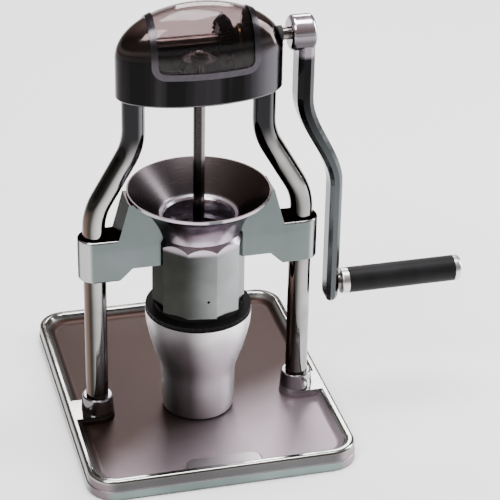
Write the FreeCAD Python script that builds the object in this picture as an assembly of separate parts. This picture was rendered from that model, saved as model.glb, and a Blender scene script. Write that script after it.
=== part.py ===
import FreeCAD, Part
import math
import os

os.makedirs("parts", exist_ok=True)

# Hand-cranked countertop coffee grinder with a conical burr, in millimetres.
# +Z is up, +X is the crank's side, -Y is the front. The origin is the centre of
# the tray's resting face.

# ---------------------------------------------------------------- clearances
SLIP = 0.05          # between pieces that are pushed or bolted together
RUNNING = 0.05       # radial, between a shaft and its bush
SLIDING = 0.1        # radial, between the burr carrier and its bore
MOVING = 0.4         # between pieces that move past each other

# ---------------------------------------------------------------- tray
TRAY_WIDTH = 200.0
TRAY_DEPTH = 244.0
TRAY_CORNER = 21.0
TRAY_RIM_Z = 16.0
TRAY_FLOOR_Z = 9.5
TRAY_FLOOR_THICKNESS = 4.0
TRAY_STEP_Z = 7.5          # top of the wider plinth band
TRAY_STEP_WIDTH = 0.6
LIP_WIDTH = 5.2
LIP_FLANK_WIDTH = 5.4
LIP_ROUND = 2.4
FLOOR_ROUND = 5.0
PAD_THICKNESS = 2.0
PAD_STAND = 1.0            # how far the pad lifts the tray
PAD_INSET = 5.0
UNDERSIDE_WALL = 9.0
BADGE_WIDTH = 56.0
BADGE_DEPTH = 15.5
BADGE_ROUND = 7.0
BADGE_EDGE = 1.5
BADGE_DROP = 2.8           # badge pad below the rim

# ---------------------------------------------------------------- legs
COLUMN_Y = -24.0           # plane of the legs and of the vertical shaft
LEG_LOW_X = 76.7
LEG_DIAMETER = 16.5
LEG_WALL = 1.5
LEG_BEND_LOW_Z = 168.0
LEG_BEND_RADIUS = 45.0
LEG_BEND_ANGLE = 30.0
SOCKET_FLOOR_Z = 7.0
SOCKET_TOP_Z = 28.5
SOCKET_WALL = 3.0
SOCKET_FLARE = 1.4
PLUG_LENGTH = 18.0
LEG_SCREW_DIAMETER = 6.0
LEG_SCREW_HEAD_DIAMETER = 12.0

# ---------------------------------------------------------------- burr housing
HOPPER_RIM_Z = 191.5
HOPPER_RIM_RADIUS = 51.9
HOPPER_WALL = 1.1
HOPPER_LEDGE_Z = 172.0
HOPPER_LEDGE_RADIUS = 28.6
HOPPER_LEDGE_DROP = 2.4    # rounded step from the cone down into the throat
HOPPER_FLARE_RADIUS = 46.0
NECK_Z = 160.5
NECK_RADIUS = 31.2
SHOULDER_Z = 153.0         # where the facets start to lean in to the neck
FACET_COUNT = 10
FACET_CORNER_RADIUS = 33.9
FACET_TURN = -8.0
HOUSING_BOTTOM_Z = 101.5
ARM_THICKNESS = 24.0
ARM_TOP_Z = 162.0
BLOCK_BOTTOM_Z = 129.0
WEB_BOTTOM_Z = 138.6
WEB_STEP_X = 51.0          # where the web's lower edge starts to drop
BLOCK_INNER_X = 61.0
GUSSET_TOP_X = 53.4
GUSSET_FOOT_RISE = 6.0
ARM_EDGE_ROUND = 1.6
SET_SCREW_DIAMETER = 6.0
SET_SCREW_HEIGHTS = (138.0, 153.0)
INDEX_DOT_RADIUS = 1.0
INDEX_DOT_Z = 115.5
INDEX_DOT_DEPTH = 1.8

# ---------------------------------------------------------------- shaft and burrs
SHAFT_DIAMETER = 8.5
SHAFT_BOTTOM_Z = 110.0
SPIDER_TOP_Z = 156.0
SPIDER_HEIGHT = 7.5
SPIDER_RING_WIDTH = 2.6
SPIDER_ARM_COUNT = 3
SPIDER_ARM_WIDTH = 5.0
BUSH_WALL = 2.4
BUSH_FLANGE = 1.5
THROAT_RADIUS = 25.2
CARRIER_RADIUS = 27.2
CARRIER_TOP_Z = 134.0
CARRIER_SKIRT_RADIUS = 25.4
CARRIER_BOTTOM_Z = 99.2
CARRIER_BORE_TOP_Z = 137.5
CARRIER_TRAVEL = 0.5
RING_BURR_RADIUS = 24.0
RING_BURR_BOTTOM_Z = 111.0
RING_BURR_HEIGHT = 19.0
RING_BURR_LAND_RADIUS = 19.9
RING_BURR_MOUTH_RADIUS = 21.5
RING_BURR_WAIST_RADIUS = 18.6
CONE_BURR_RADIUS = 19.1
CONE_BURR_TOP_RADIUS = 10.0
CONE_BURR_HEIGHT = 24.0
CONE_FLUTES = 24
CONE_FLUTE_DEPTH = 0.9
KEY_DIAMETER = 3.0
KEY_Z = 125.0

# ---------------------------------------------------------------- grind adjuster
COLLAR_RADIUS = 38.8
COLLAR_BOTTOM_Z = 94.8
COLLAR_RIM_THICKNESS = 2.8
COLLAR_HUB_RADIUS = 32.0
COLLAR_NECK_RADIUS = 29.6
COLLAR_NECK_RISE = 4.5     # how far the neck stands inside the housing
COLLAR_GRIPS = 48
COLLAR_GRIP_DEPTH = 0.5
SNAP_RING_THICKNESS = 1.0
SNAP_RING_DEPTH = 0.7
SNAP_RING_GAP = 0.25       # between the ring and the collar that turns on it

# ---------------------------------------------------------------- cup
CUP_RIM_GAP = 0.9
CUP_RIM_RADIUS = 39.2
CUP_WAIST_RADIUS = 27.3
CUP_BASE_RADIUS = 26.6
CUP_WALL = 1.6
CUP_FLOOR = 2.6
CUP_BASE_ROUND = 3.0
CUP_REST_GAP = 0.3

# ---------------------------------------------------------------- gear case
CASE_BOTTOM_Z = 267.3
CASE_SPRING_Z = 297.5      # where the wall turns into the dome
CASE_HEADROOM = 7.2        # dome above the pinion
CASE_HALF_WIDTH = 59.5
CASE_SIDE_ROOM = 5.5       # wall's inside beside the pinion
CASE_WALL = 2.5
CASE_EDGE_ROUND = 1.8
WINDOW_HALF_WIDTH = 33.8
WINDOW_BOTTOM_Z = 292.8
WINDOW_CORNER = 5.0
FRAME_WIDTH = 4.6
FRAME_PROUD = 0.9
PLATE_RECESS = 1.0
PLATE_THICKNESS = 6.0
PLATE_GAP = 0.15
LEG_CAP_Z = 283.5          # roof of the sockets that take the legs' upper ends
LEG_CAP_THICKNESS = 4.0
LEG_CAP_WALL = 1.7
LEG_SIDE_WALL = 1.4        # between a leg's bore and the plate's end
CASE_LUG_X = 24.0
CASE_LUG_RADIUS = 4.4
CASE_LUG_BITE = 0.5        # how far a lug reaches into the wall
CASE_LUG_HEIGHT = 9.5
SMALL_SCREW_DIAMETER = 4.0

# ---------------------------------------------------------------- gears
CRANK_Z = 305.5
GEAR_TEETH = 20            # both bevel gears, so the ratio is one to one
GEAR_MODULE = 1.75
GEAR_FACE = 7.5
GEAR_ADDENDUM = 0.85       # of the module
GEAR_DEDENDUM = 1.15       # of the module
GEAR_BACKLASH = 0.28
GEAR_BACK = 3.2
GEAR_HUB_RADIUS = 8.2
CROWN_HUB_STAND = 3.3      # hub below the gear's back
HUB_GAP = 0.4              # between the pinion's hub and its bush
GEAR_PIN_DIAMETER = 2.5
CROWN_STUD_DIAMETER = 6.0
CROWN_NUT_HEIGHT = 4.2

# ---------------------------------------------------------------- crank
CRANK_SHAFT_DIAMETER = 9.0
BARREL_LENGTH = 17.0
BARREL_RADIUS = 10.0
PEDESTAL_THICKNESS = 8.4
PEDESTAL_WIDTH = 20.0
PEDESTAL_GAP = 1.2         # between the pedestal and the leg's cap
BUSH_FLANGE_STAND = 1.2
CRANK_BUSH_LENGTH = 7.0
END_BUSH_LENGTH = 8.0
END_BOSS_START_X = -46.0   # inner face of the boss in the case's left wall
END_BOSS_WALL = 2.2
SEAL_RADIUS = 6.0
SEAL_START_X = 50.5
SEAL_END_X = 58.4
BOSS_START_X = 63.6
BOSS_END_X = 81.4
CRANK_HIGH_X = 75.2
BOSS_RADIUS = 12.8
BOSS_ROUND = 3.4
ARM_LOW_X = 101.2
ARM_BEND_TOP_Z = 258.0
ARM_BEND_BOTTOM_Z = 186.0
ARM_END_Z = 87.0
ARM_HIGH_WIDTH = 12.0
ARM_LOW_WIDTH = 9.2
ARM_HIGH_DEPTH = 20.5
ARM_LOW_DEPTH = 16.5
ARM_BEVEL = 0.3            # of the half width
ARM_BEND_STEPS = 14

# ---------------------------------------------------------------- grip
GRIP_Z = 101.4
GRIP_START_X = 108.6
FERRULE_LENGTH = 5.6
GRIP_LENGTH = 83.2
GRIP_RADIUS = 9.7
GRIP_CAP_LENGTH = 6.0
GRIP_EDGE_ROUND = 1.2
SPINDLE_DIAMETER = 8.0
SPINDLE_HEAD_RADIUS = 6.4
SPINDLE_HEAD_THICKNESS = 3.0

# ---------------------------------------------------------------- worked out
LEG_RADIUS = LEG_DIAMETER / 2
LEG_BORE = LEG_RADIUS - LEG_WALL
LEG_HIGH_X = CASE_HALF_WIDTH - CASE_WALL - PLATE_GAP - LEG_SIDE_WALL - LEG_RADIUS
SOCKET_RADIUS = LEG_RADIUS + SOCKET_WALL
SHAFT_RADIUS = SHAFT_DIAMETER / 2
CRANK_SHAFT_RADIUS = CRANK_SHAFT_DIAMETER / 2
BUSH_RADIUS = SHAFT_RADIUS + BUSH_WALL
CRANK_BUSH_RADIUS = CRANK_SHAFT_RADIUS + BUSH_WALL
ARM_HALF = ARM_THICKNESS / 2
PLATE_BOTTOM_Z = CASE_BOTTOM_Z + PLATE_RECESS
PLATE_TOP_Z = PLATE_BOTTOM_Z + PLATE_THICKNESS
LEG_TOP_Z = LEG_CAP_Z - SLIP
GEAR_PITCH_RADIUS = GEAR_TEETH * GEAR_MODULE / 2
GEAR_OUTER_RADIUS = GEAR_PITCH_RADIUS + GEAR_ADDENDUM * GEAR_MODULE * math.sqrt(0.5)
GEAR_BACK_DISTANCE = GEAR_PITCH_RADIUS + (GEAR_DEDENDUM * GEAR_MODULE + GEAR_BACK) * math.sqrt(0.5)
CROWN_HUB_BOTTOM_Z = CRANK_Z - GEAR_BACK_DISTANCE - CROWN_HUB_STAND
CASE_TOP_Z = CRANK_Z + GEAR_OUTER_RADIUS + CASE_HEADROOM + CASE_WALL
CASE_HALF_DEPTH = GEAR_OUTER_RADIUS + CASE_SIDE_ROOM + CASE_WALL
BARREL_START_X = LEG_HIGH_X - LEG_RADIUS - LEG_CAP_WALL - PEDESTAL_GAP - PEDESTAL_THICKNESS
BARREL_END_X = BARREL_START_X + BARREL_LENGTH
PINION_HUB_END_X = BARREL_START_X - BUSH_FLANGE_STAND - HUB_GAP
CASE_INNER_Y = (CASE_HALF_DEPTH - CASE_WALL) * math.sqrt(
    1 - (CASE_LUG_X / (CASE_HALF_WIDTH - CASE_WALL)) ** 2)
CASE_LUG_Y = CASE_INNER_Y + CASE_LUG_BITE - CASE_LUG_RADIUS
COLLAR_TOP_Z = HOUSING_BOTTOM_Z - MOVING
COLLAR_FLANGE_TOP_Z = COLLAR_BOTTOM_Z + COLLAR_RIM_THICKNESS
COLLAR_NECK_TOP_Z = HOUSING_BOTTOM_Z + COLLAR_NECK_RISE
COLLAR_BORE = CARRIER_SKIRT_RADIUS + SLIDING
SNAP_RING_Z = HOUSING_BOTTOM_Z + COLLAR_NECK_RISE / 2 - SNAP_RING_THICKNESS / 2
SPIDER_BOTTOM_Z = SPIDER_TOP_Z - SPIDER_HEIGHT
SPIDER_RADIUS = THROAT_RADIUS - SLIP
FEED_RADIUS = SPIDER_RADIUS - SPIDER_RING_WIDTH
CUP_BOTTOM_Z = TRAY_FLOOR_Z + CUP_REST_GAP
CUP_TOP_Z = COLLAR_BOTTOM_Z - CUP_RIM_GAP
GRIP_SLEEVE_START_X = GRIP_START_X + FERRULE_LENGTH + SLIP
GRIP_SLEEVE_END_X = GRIP_SLEEVE_START_X + GRIP_LENGTH

X_AXIS = FreeCAD.Vector(1, 0, 0)
Y_AXIS = FreeCAD.Vector(0, 1, 0)
Z_AXIS = FreeCAD.Vector(0, 0, 1)


# ================================================================ helpers

def point(x, y, z):
    return FreeCAD.Vector(x, y, z)


def disc(radius, z_low, z_high, x=0.0, y=COLUMN_Y):
    """Upright cylinder."""
    return Part.makeCylinder(radius, z_high - z_low, point(x, y, z_low), Z_AXIS)


def rod(radius, x_low, x_high, z=CRANK_Z, y=COLUMN_Y):
    """Cylinder along X."""
    return Part.makeCylinder(radius, x_high - x_low, point(x_low, y, z), X_AXIS)


def block(x_low, x_high, y_low, y_high, z_low, z_high):
    return Part.makeBox(x_high - x_low, y_high - y_low, z_high - z_low,
                        point(x_low, y_low, z_low))


def fuse(shapes):
    return shapes[0].fuse(shapes[1:]).removeSplitter()


def turned(outline, x=0.0, y=COLUMN_Y):
    """Solid turned about an upright axis from (radius, z) corners."""
    corners = [point(x + radius, y, z) for radius, z in outline]
    face = Part.Face(Part.makePolygon(corners + corners[:1]))
    return face.revolve(point(x, y, 0), Z_AXIS, 360)


def turned_edges(edges):
    """Solid turned about the shaft's axis from a closed list of edges."""
    face = Part.Face(Part.Wire(Part.__sortEdges__(edges)))
    return face.revolve(point(0, COLUMN_Y, 0), Z_AXIS, 360)


def section_point(radius, z):
    return point(radius, COLUMN_Y, z)


def line(start, end):
    return Part.LineSegment(start, end).toShape()


def prism(corners, y_low, y_high):
    """Solid pushed along Y from (x, z) corners."""
    points = [point(x, y_low, z) for x, z in corners]
    face = Part.Face(Part.makePolygon(points + points[:1]))
    return face.extrude(point(0, y_high - y_low, 0))


def hexagon(across_flats, z_low, z_high, x=0.0, y=COLUMN_Y):
    radius = across_flats / math.sqrt(3)
    corners = [point(x + radius * math.cos(math.radians(60 * i)),
                     y + radius * math.sin(math.radians(60 * i)), z_low) for i in range(7)]
    return Part.Face(Part.makePolygon(corners)).extrude(point(0, 0, z_high - z_low))


def rounded_outline(width, depth, corner, z):
    """Rounded rectangle, centred on the tray."""
    plate = Part.makeBox(width, depth, 1, point(-width / 2, -depth / 2, z))
    upright = [edge for edge in plate.Edges if abs(edge.tangentAt(edge.FirstParameter).z) > 0.5]
    plate = plate.makeFillet(corner, upright)
    base = min(plate.Faces, key=lambda face: face.CenterOfMass.z)
    return base.OuterWire


def rounded_block(width, depth, corner, z_low, z_high):
    outline = rounded_outline(width, depth, corner, z_low)
    return Part.Face(outline).extrude(point(0, 0, z_high - z_low))


def edges_at_height(shape, z):
    return [edge for edge in shape.Edges
            if abs(edge.BoundBox.ZMin - z) < 1e-3 and abs(edge.BoundBox.ZMax - z) < 1e-3]


def edges_across_x(shape, x):
    return [edge for edge in shape.Edges
            if abs(edge.BoundBox.XMin - x) < 1e-3 and abs(edge.BoundBox.XMax - x) < 1e-3]


def mirrored(shape):
    """The same piece on the other side of the plane X = 0."""
    return shape.mirror(point(0, 0, 0), X_AXIS)


def turned_copy(shape, angle):
    copy = shape.copy()
    copy.rotate(point(0, COLUMN_Y, 0), Z_AXIS, angle)
    return copy


def export(name, shape):
    shape.exportStep(f"parts/{name}.step")


def countersunk_screw(diameter, head_diameter, z_low, z_high, x, y):
    """Screw pointing up, with its flat head at z_low."""
    radius = diameter / 2
    head_radius = head_diameter / 2
    cone_top = z_low + head_radius - radius
    body = turned([(0, z_low), (head_radius, z_low), (radius, cone_top), (radius, z_high),
                   (0, z_high)], x, y)
    return body.cut(hexagon(diameter * 0.6, z_low, z_low + diameter * 0.35, x, y))


def cap_screw(diameter, z_seat, z_end, x, y):
    """Socket-head screw whose head starts at z_seat and whose shank runs to z_end."""
    away = 1 if z_end < z_seat else -1
    head_end = z_seat + away * diameter * 0.8
    head = disc(diameter * 0.8, min(z_seat, head_end), max(z_seat, head_end), x, y)
    shank = disc(diameter / 2, min(z_seat, z_end), max(z_seat, z_end), x, y)
    recess_start = head_end - away * diameter * 0.45
    recess = hexagon(diameter * 0.8, min(recess_start, head_end), max(recess_start, head_end), x, y)
    return head.fuse(shank).removeSplitter().cut(recess)


# ================================================================ tray

def make_tray():
    plinth = rounded_block(TRAY_WIDTH, TRAY_DEPTH, TRAY_CORNER, PAD_STAND, TRAY_STEP_Z)
    plinth = plinth.makeChamfer(TRAY_STEP_WIDTH * 0.8, edges_at_height(plinth, TRAY_STEP_Z))
    upper = rounded_block(TRAY_WIDTH - 2 * TRAY_STEP_WIDTH, TRAY_DEPTH - 2 * TRAY_STEP_WIDTH,
                          TRAY_CORNER - TRAY_STEP_WIDTH, PAD_STAND, TRAY_RIM_Z)
    mouth_inset = 2 * (TRAY_STEP_WIDTH + LIP_WIDTH)
    floor_inset = mouth_inset + 2 * LIP_FLANK_WIDTH
    mouth = rounded_outline(TRAY_WIDTH - mouth_inset, TRAY_DEPTH - mouth_inset,
                            TRAY_CORNER - mouth_inset / 2, TRAY_RIM_Z)
    floor = rounded_outline(TRAY_WIDTH - floor_inset, TRAY_DEPTH - floor_inset,
                            TRAY_CORNER - mouth_inset / 2, TRAY_FLOOR_Z)
    hollow = Part.makeLoft([floor, mouth], True, True)
    tray = plinth.fuse(upper).cut(hollow).removeSplitter()
    tray = tray.makeFillet(LIP_ROUND, edges_at_height(tray, TRAY_RIM_Z))
    tray = tray.makeFillet(FLOOR_ROUND, edges_at_height(tray, TRAY_FLOOR_Z))
    tray = fuse([tray, make_badge_pad()] + [make_socket(side) for side in (-1, 1)])
    for tool in underside_tools():
        tray = tray.cut(tool)
    return tray


def make_badge_pad():
    """Plain raised pad against the front lip."""
    front = -TRAY_DEPTH / 2 + TRAY_STEP_WIDTH + LIP_WIDTH / 2
    back = front + LIP_WIDTH / 2 + BADGE_DEPTH
    top = TRAY_RIM_Z - BADGE_DROP
    pad = block(-BADGE_WIDTH / 2, BADGE_WIDTH / 2, front, back, TRAY_FLOOR_Z - 1, top)
    corners = [edge for edge in pad.Edges
               if edge.BoundBox.ZLength > 1 and edge.BoundBox.YMin > back - 1]
    pad = pad.makeFillet(BADGE_ROUND, corners)
    return pad.makeFillet(BADGE_EDGE, edges_at_height(pad, top))


def make_socket(side):
    """Tapered leg socket with a flat-topped bridge out to the side lip."""
    x = side * LEG_LOW_X
    foot_radius = SOCKET_RADIUS + SOCKET_FLARE
    base_z = TRAY_FLOOR_Z - 1
    boss = turned([(0, base_z), (foot_radius, base_z), (foot_radius, TRAY_FLOOR_Z),
                   (SOCKET_RADIUS, SOCKET_TOP_Z), (0, SOCKET_TOP_Z)], x)
    boss = boss.makeFillet(SOCKET_WALL * 0.4, edges_at_height(boss, SOCKET_TOP_Z))
    outer_x = TRAY_WIDTH / 2 - TRAY_STEP_WIDTH - LIP_WIDTH / 2
    bridge = block(LEG_LOW_X, outer_x, COLUMN_Y - foot_radius, COLUMN_Y + foot_radius,
                   base_z, TRAY_RIM_Z)
    if side < 0:
        bridge = mirrored(bridge)
    return boss.fuse(bridge)


def underside_tools():
    """Hollows cut from below and the leg sockets' bores."""
    pad_recess = rounded_block(TRAY_WIDTH - 2 * PAD_INSET, TRAY_DEPTH - 2 * PAD_INSET,
                               TRAY_CORNER - PAD_INSET, 0, PAD_THICKNESS)
    hollow = rounded_block(TRAY_WIDTH - 2 * UNDERSIDE_WALL, TRAY_DEPTH - 2 * UNDERSIDE_WALL,
                           TRAY_CORNER - UNDERSIDE_WALL, PAD_THICKNESS - 1,
                           TRAY_FLOOR_Z - TRAY_FLOOR_THICKNESS)
    tools = [pad_recess]
    for side in (-1, 1):
        x = side * LEG_LOW_X
        hollow = hollow.cut(disc(SOCKET_RADIUS + SOCKET_FLARE, 0, TRAY_FLOOR_Z, x))
        tools.append(disc(LEG_RADIUS + SLIP, SOCKET_FLOOR_Z, SOCKET_TOP_Z + 1, x))
        tools.append(disc(LEG_SCREW_DIAMETER / 2 + SLIP, 0, SOCKET_FLOOR_Z + 1, x))
        head_radius = LEG_SCREW_HEAD_DIAMETER / 2 + SLIP
        shank_radius = LEG_SCREW_DIAMETER / 2 + SLIP
        tools.append(turned([(0, PAD_THICKNESS - 1), (head_radius, PAD_THICKNESS - 1),
                             (head_radius, leg_screw_head_z()),
                             (shank_radius, leg_screw_head_z() + head_radius - shank_radius),
                             (0, leg_screw_head_z() + head_radius - shank_radius)], x))
    tools.append(hollow)
    return tools


def leg_screw_head_z():
    return PAD_THICKNESS + SLIP


def make_base_pad():
    inset = 2 * (PAD_INSET + SLIP)
    return rounded_block(TRAY_WIDTH - inset, TRAY_DEPTH - inset,
                         TRAY_CORNER - PAD_INSET - SLIP, 0, PAD_THICKNESS - SLIP)


def make_leg_base_screws():
    end = SOCKET_FLOOR_Z + PLUG_LENGTH - 2
    return Part.makeCompound([
        countersunk_screw(LEG_SCREW_DIAMETER, LEG_SCREW_HEAD_DIAMETER, leg_screw_head_z(), end,
                          side * LEG_LOW_X, COLUMN_Y) for side in (-1, 1)])


# ================================================================ legs

def leg_path():
    """Centre line of the right leg: straight, S-bend inwards, straight."""
    angle = math.radians(LEG_BEND_ANGLE)
    radius = LEG_BEND_RADIUS
    shift = LEG_LOW_X - LEG_HIGH_X
    slant = (shift - 2 * radius * (1 - math.cos(angle))) / math.sin(angle)
    rise = 2 * radius * math.sin(angle) + slant * math.cos(angle)
    top_z = LEG_BEND_LOW_Z + rise

    def low_arc(turn):
        return point(LEG_LOW_X - radius * (1 - math.cos(turn)), COLUMN_Y,
                     LEG_BEND_LOW_Z + radius * math.sin(turn))

    def high_arc(turn):
        return point(LEG_HIGH_X + radius * (1 - math.cos(turn)), COLUMN_Y,
                     top_z - radius * math.sin(turn))

    return Part.Wire([
        line(point(LEG_LOW_X, COLUMN_Y, SOCKET_FLOOR_Z + SLIP), low_arc(0)),
        Part.Arc(low_arc(0), low_arc(angle / 2), low_arc(angle)).toShape(),
        line(low_arc(angle), high_arc(angle)),
        Part.Arc(high_arc(angle), high_arc(angle / 2), high_arc(0)).toShape(),
        line(high_arc(0), point(LEG_HIGH_X, COLUMN_Y, LEG_TOP_Z))])


def leg_sweep(radius):
    start = point(LEG_LOW_X, COLUMN_Y, SOCKET_FLOOR_Z + SLIP)
    profile = Part.Wire(Part.makeCircle(radius, start, Z_AXIS))
    return leg_path().makePipeShell([profile], True, False)


def make_right_leg():
    return leg_sweep(LEG_RADIUS).cut(leg_sweep(LEG_BORE))


def make_leg_plugs():
    """Threaded plugs pressed into both ends of both tubes."""
    plug_radius = LEG_BORE - SLIP
    hole_radius = LEG_SCREW_DIAMETER / 2 + SLIP
    low = (LEG_LOW_X, SOCKET_FLOOR_Z + SLIP)
    high = (LEG_HIGH_X, LEG_TOP_Z - PLUG_LENGTH)
    plugs = []
    for side in (-1, 1):
        for x, z in (low, high):
            plug = disc(plug_radius, z, z + PLUG_LENGTH, side * x)
            plugs.append(plug.cut(disc(hole_radius, z - 1, z + PLUG_LENGTH + 1, side * x)))
    return Part.makeCompound(plugs)


# ================================================================ burr housing

def hopper_solid():
    """Flared hopper from the neck to the rim."""
    start = section_point(NECK_RADIUS, NECK_Z)
    lip = section_point(HOPPER_RIM_RADIUS, HOPPER_RIM_Z - 2)
    rim = section_point(HOPPER_RIM_RADIUS, HOPPER_RIM_Z)
    middle = (start + lip) * 0.5
    chord = lip - start
    outward = point(chord.z, 0, -chord.x).normalize()
    sag = HOPPER_FLARE_RADIUS - math.sqrt(HOPPER_FLARE_RADIUS ** 2 - (chord.Length / 2) ** 2)
    flare = Part.Arc(start, middle - outward * sag, lip).toShape()
    axis_low = section_point(0, NECK_Z)
    axis_high = section_point(0, HOPPER_RIM_Z)
    return turned_edges([line(axis_low, start), flare, line(lip, rim), line(rim, axis_high),
                         line(axis_high, axis_low)])


def faceted_body():
    """Ten-sided barrel whose facets lean in to the neck."""
    corners = []
    for i in range(FACET_COUNT + 1):
        turn = math.radians(FACET_TURN + 360 * i / FACET_COUNT)
        corners.append(point(FACET_CORNER_RADIUS * math.cos(turn),
                             COLUMN_Y + FACET_CORNER_RADIUS * math.sin(turn), HOUSING_BOTTOM_Z))
    barrel = Part.Face(Part.makePolygon(corners)).extrude(point(0, 0, NECK_Z - HOUSING_BOTTOM_Z))
    wide = FACET_CORNER_RADIUS + 1
    limit = turned([(0, HOUSING_BOTTOM_Z), (wide, HOUSING_BOTTOM_Z), (wide, SHOULDER_Z),
                    (NECK_RADIUS, NECK_Z), (0, NECK_Z)])
    return barrel.common(limit)


def side_arm():
    """Right arm: clamp block round the leg, web to the barrel and gusset up to the rim."""
    outline = [(0, WEB_BOTTOM_Z), (WEB_STEP_X, WEB_BOTTOM_Z), (BLOCK_INNER_X, BLOCK_BOTTOM_Z),
               (LEG_LOW_X, BLOCK_BOTTOM_Z), (LEG_LOW_X, ARM_TOP_Z), (BLOCK_INNER_X, ARM_TOP_Z),
               (BLOCK_INNER_X - 1.8, ARM_TOP_Z + GUSSET_FOOT_RISE),
               (GUSSET_TOP_X, HOPPER_RIM_Z - 2), (0, HOPPER_RIM_Z - 2)]
    web = prism(outline, COLUMN_Y - ARM_HALF, COLUMN_Y + ARM_HALF)
    end = disc(ARM_HALF, BLOCK_BOTTOM_Z, ARM_TOP_Z, LEG_LOW_X)
    arm = web.fuse(end).removeSplitter()
    return arm.makeFillet(ARM_EDGE_ROUND, arm_end_edges(arm))


def arm_end_edges(arm):
    """Upper and lower edges of the clamp block."""
    edges = []
    for z in (BLOCK_BOTTOM_Z, ARM_TOP_Z):
        edges += [edge for edge in edges_at_height(arm, z) if edge.BoundBox.XMax > BLOCK_INNER_X + 1]
    return edges


def housing_hollow():
    """Hopper cone, spider seat, throat and carrier bore in one turned tool."""
    bore = CARRIER_RADIUS + SLIDING
    ledge_middle = (HOPPER_LEDGE_RADIUS + THROAT_RADIUS) / 2
    counterbore = COLLAR_NECK_RADIUS + RUNNING
    return turned([(0, HOUSING_BOTTOM_Z - 1), (counterbore, HOUSING_BOTTOM_Z - 1),
                   (counterbore, COLLAR_NECK_TOP_Z + MOVING), (bore, COLLAR_NECK_TOP_Z + MOVING),
                   (bore, CARRIER_BORE_TOP_Z), (FEED_RADIUS, CARRIER_BORE_TOP_Z + 3),
                   (FEED_RADIUS, SPIDER_BOTTOM_Z - SLIP), (THROAT_RADIUS, SPIDER_BOTTOM_Z - SLIP),
                   (THROAT_RADIUS, HOPPER_LEDGE_Z - HOPPER_LEDGE_DROP),
                   (ledge_middle - 0.6, HOPPER_LEDGE_Z - HOPPER_LEDGE_DROP / 3),
                   (HOPPER_LEDGE_RADIUS, HOPPER_LEDGE_Z),
                   (HOPPER_RIM_RADIUS - HOPPER_WALL, HOPPER_RIM_Z),
                   (HOPPER_RIM_RADIUS - HOPPER_WALL, HOPPER_RIM_Z + 1), (0, HOPPER_RIM_Z + 1)])


def snap_ring_space(gap):
    """Ring-shaped space of the snap ring, larger by the gap."""
    inner = COLLAR_NECK_RADIUS - SNAP_RING_DEPTH - gap
    outer = COLLAR_NECK_RADIUS + SNAP_RING_DEPTH + gap
    return turned([(inner, SNAP_RING_Z - gap), (outer, SNAP_RING_Z - gap),
                   (outer, SNAP_RING_Z + SNAP_RING_THICKNESS + gap),
                   (inner, SNAP_RING_Z + SNAP_RING_THICKNESS + gap)])


def key_pin(radius, gap):
    """Pin through the back wall that keeps the carrier from turning."""
    tip = COLUMN_Y + CARRIER_RADIUS - KEY_DIAMETER / 2 - gap
    end = COLUMN_Y + FACET_CORNER_RADIUS * math.cos(math.pi / FACET_COUNT) - 1
    return Part.makeCylinder(radius, end - tip, point(0, tip, KEY_Z), Y_AXIS)


def index_dot():
    """Small drilled dot, the grind scale's index."""
    facet_radius = FACET_CORNER_RADIUS * math.cos(math.pi / FACET_COUNT)
    start = point(0, COLUMN_Y - facet_radius + INDEX_DOT_DEPTH, INDEX_DOT_Z)
    return Part.makeCylinder(INDEX_DOT_RADIUS, 3 * INDEX_DOT_DEPTH, start, -Y_AXIS)


def make_burr_housing():
    arm = side_arm()
    body = fuse([faceted_body(), hopper_solid(), arm, mirrored(arm)])
    body = body.cut(housing_hollow())
    body = body.cut(snap_ring_space(2 * SLIP))
    body = body.cut(key_pin(KEY_DIAMETER / 2 + SLIP, 0))
    body = body.cut(index_dot())
    for side in (-1, 1):
        x = side * LEG_LOW_X
        body = body.cut(disc(LEG_RADIUS + SLIP, BLOCK_BOTTOM_Z - 1, ARM_TOP_Z + 1, x))
        for z in SET_SCREW_HEIGHTS:
            body = body.cut(set_screw_space(x, z))
    return body


def set_screw_space(x, z):
    return Part.makeCylinder(SET_SCREW_DIAMETER / 2 + SLIP, ARM_HALF, point(x, COLUMN_Y, z), Y_AXIS)


def make_clamp_set_screws():
    """Grub screws from the back of each clamp block against the legs."""
    screws = []
    length = ARM_HALF - LEG_RADIUS - 3 * SLIP
    for side in (-1, 1):
        for z in SET_SCREW_HEIGHTS:
            start = point(side * LEG_LOW_X, COLUMN_Y + LEG_RADIUS + 2 * SLIP, z)
            screw = Part.makeCylinder(SET_SCREW_DIAMETER / 2, length, start, Y_AXIS)
            recess = hexagon(SET_SCREW_DIAMETER / 2, 0, length, 0, 0)
            recess.rotate(point(0, 0, 0), X_AXIS, -90)
            recess.translate(start + point(0, length / 2, 0))
            screws.append(screw.cut(recess))
    return Part.makeCompound(screws)


# ================================================================ shaft and burrs

def make_drive_shaft():
    stud_top = crown_seat_z() + CROWN_NUT_HEIGHT + 1.0
    shaft = disc(SHAFT_RADIUS, SHAFT_BOTTOM_Z, crown_seat_z() - SLIP)
    stud = disc(CROWN_STUD_DIAMETER / 2, crown_seat_z() - 1, stud_top)
    shaft = shaft.fuse(stud).removeSplitter()
    shaft = shaft.makeChamfer(0.6, edges_at_height(shaft, stud_top))
    shaft = shaft.cut(disc(burr_screw_radius() + SLIP, SHAFT_BOTTOM_Z - 1, SHAFT_BOTTOM_Z + 14))
    shaft = shaft.cut(crown_pin_space(SLIP))
    return shaft.cut(circlip_space(SLIP))


def circlip_space(gap):
    """Groove and clip under the spider's bush."""
    inner = SHAFT_RADIUS - 0.6 - gap
    outer = SHAFT_RADIUS + 2.0
    low = SPIDER_BOTTOM_Z - 2.0
    return turned([(inner, low - gap), (outer, low - gap), (outer, low + 1.0 + gap),
                   (inner, low + 1.0 + gap)])


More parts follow.
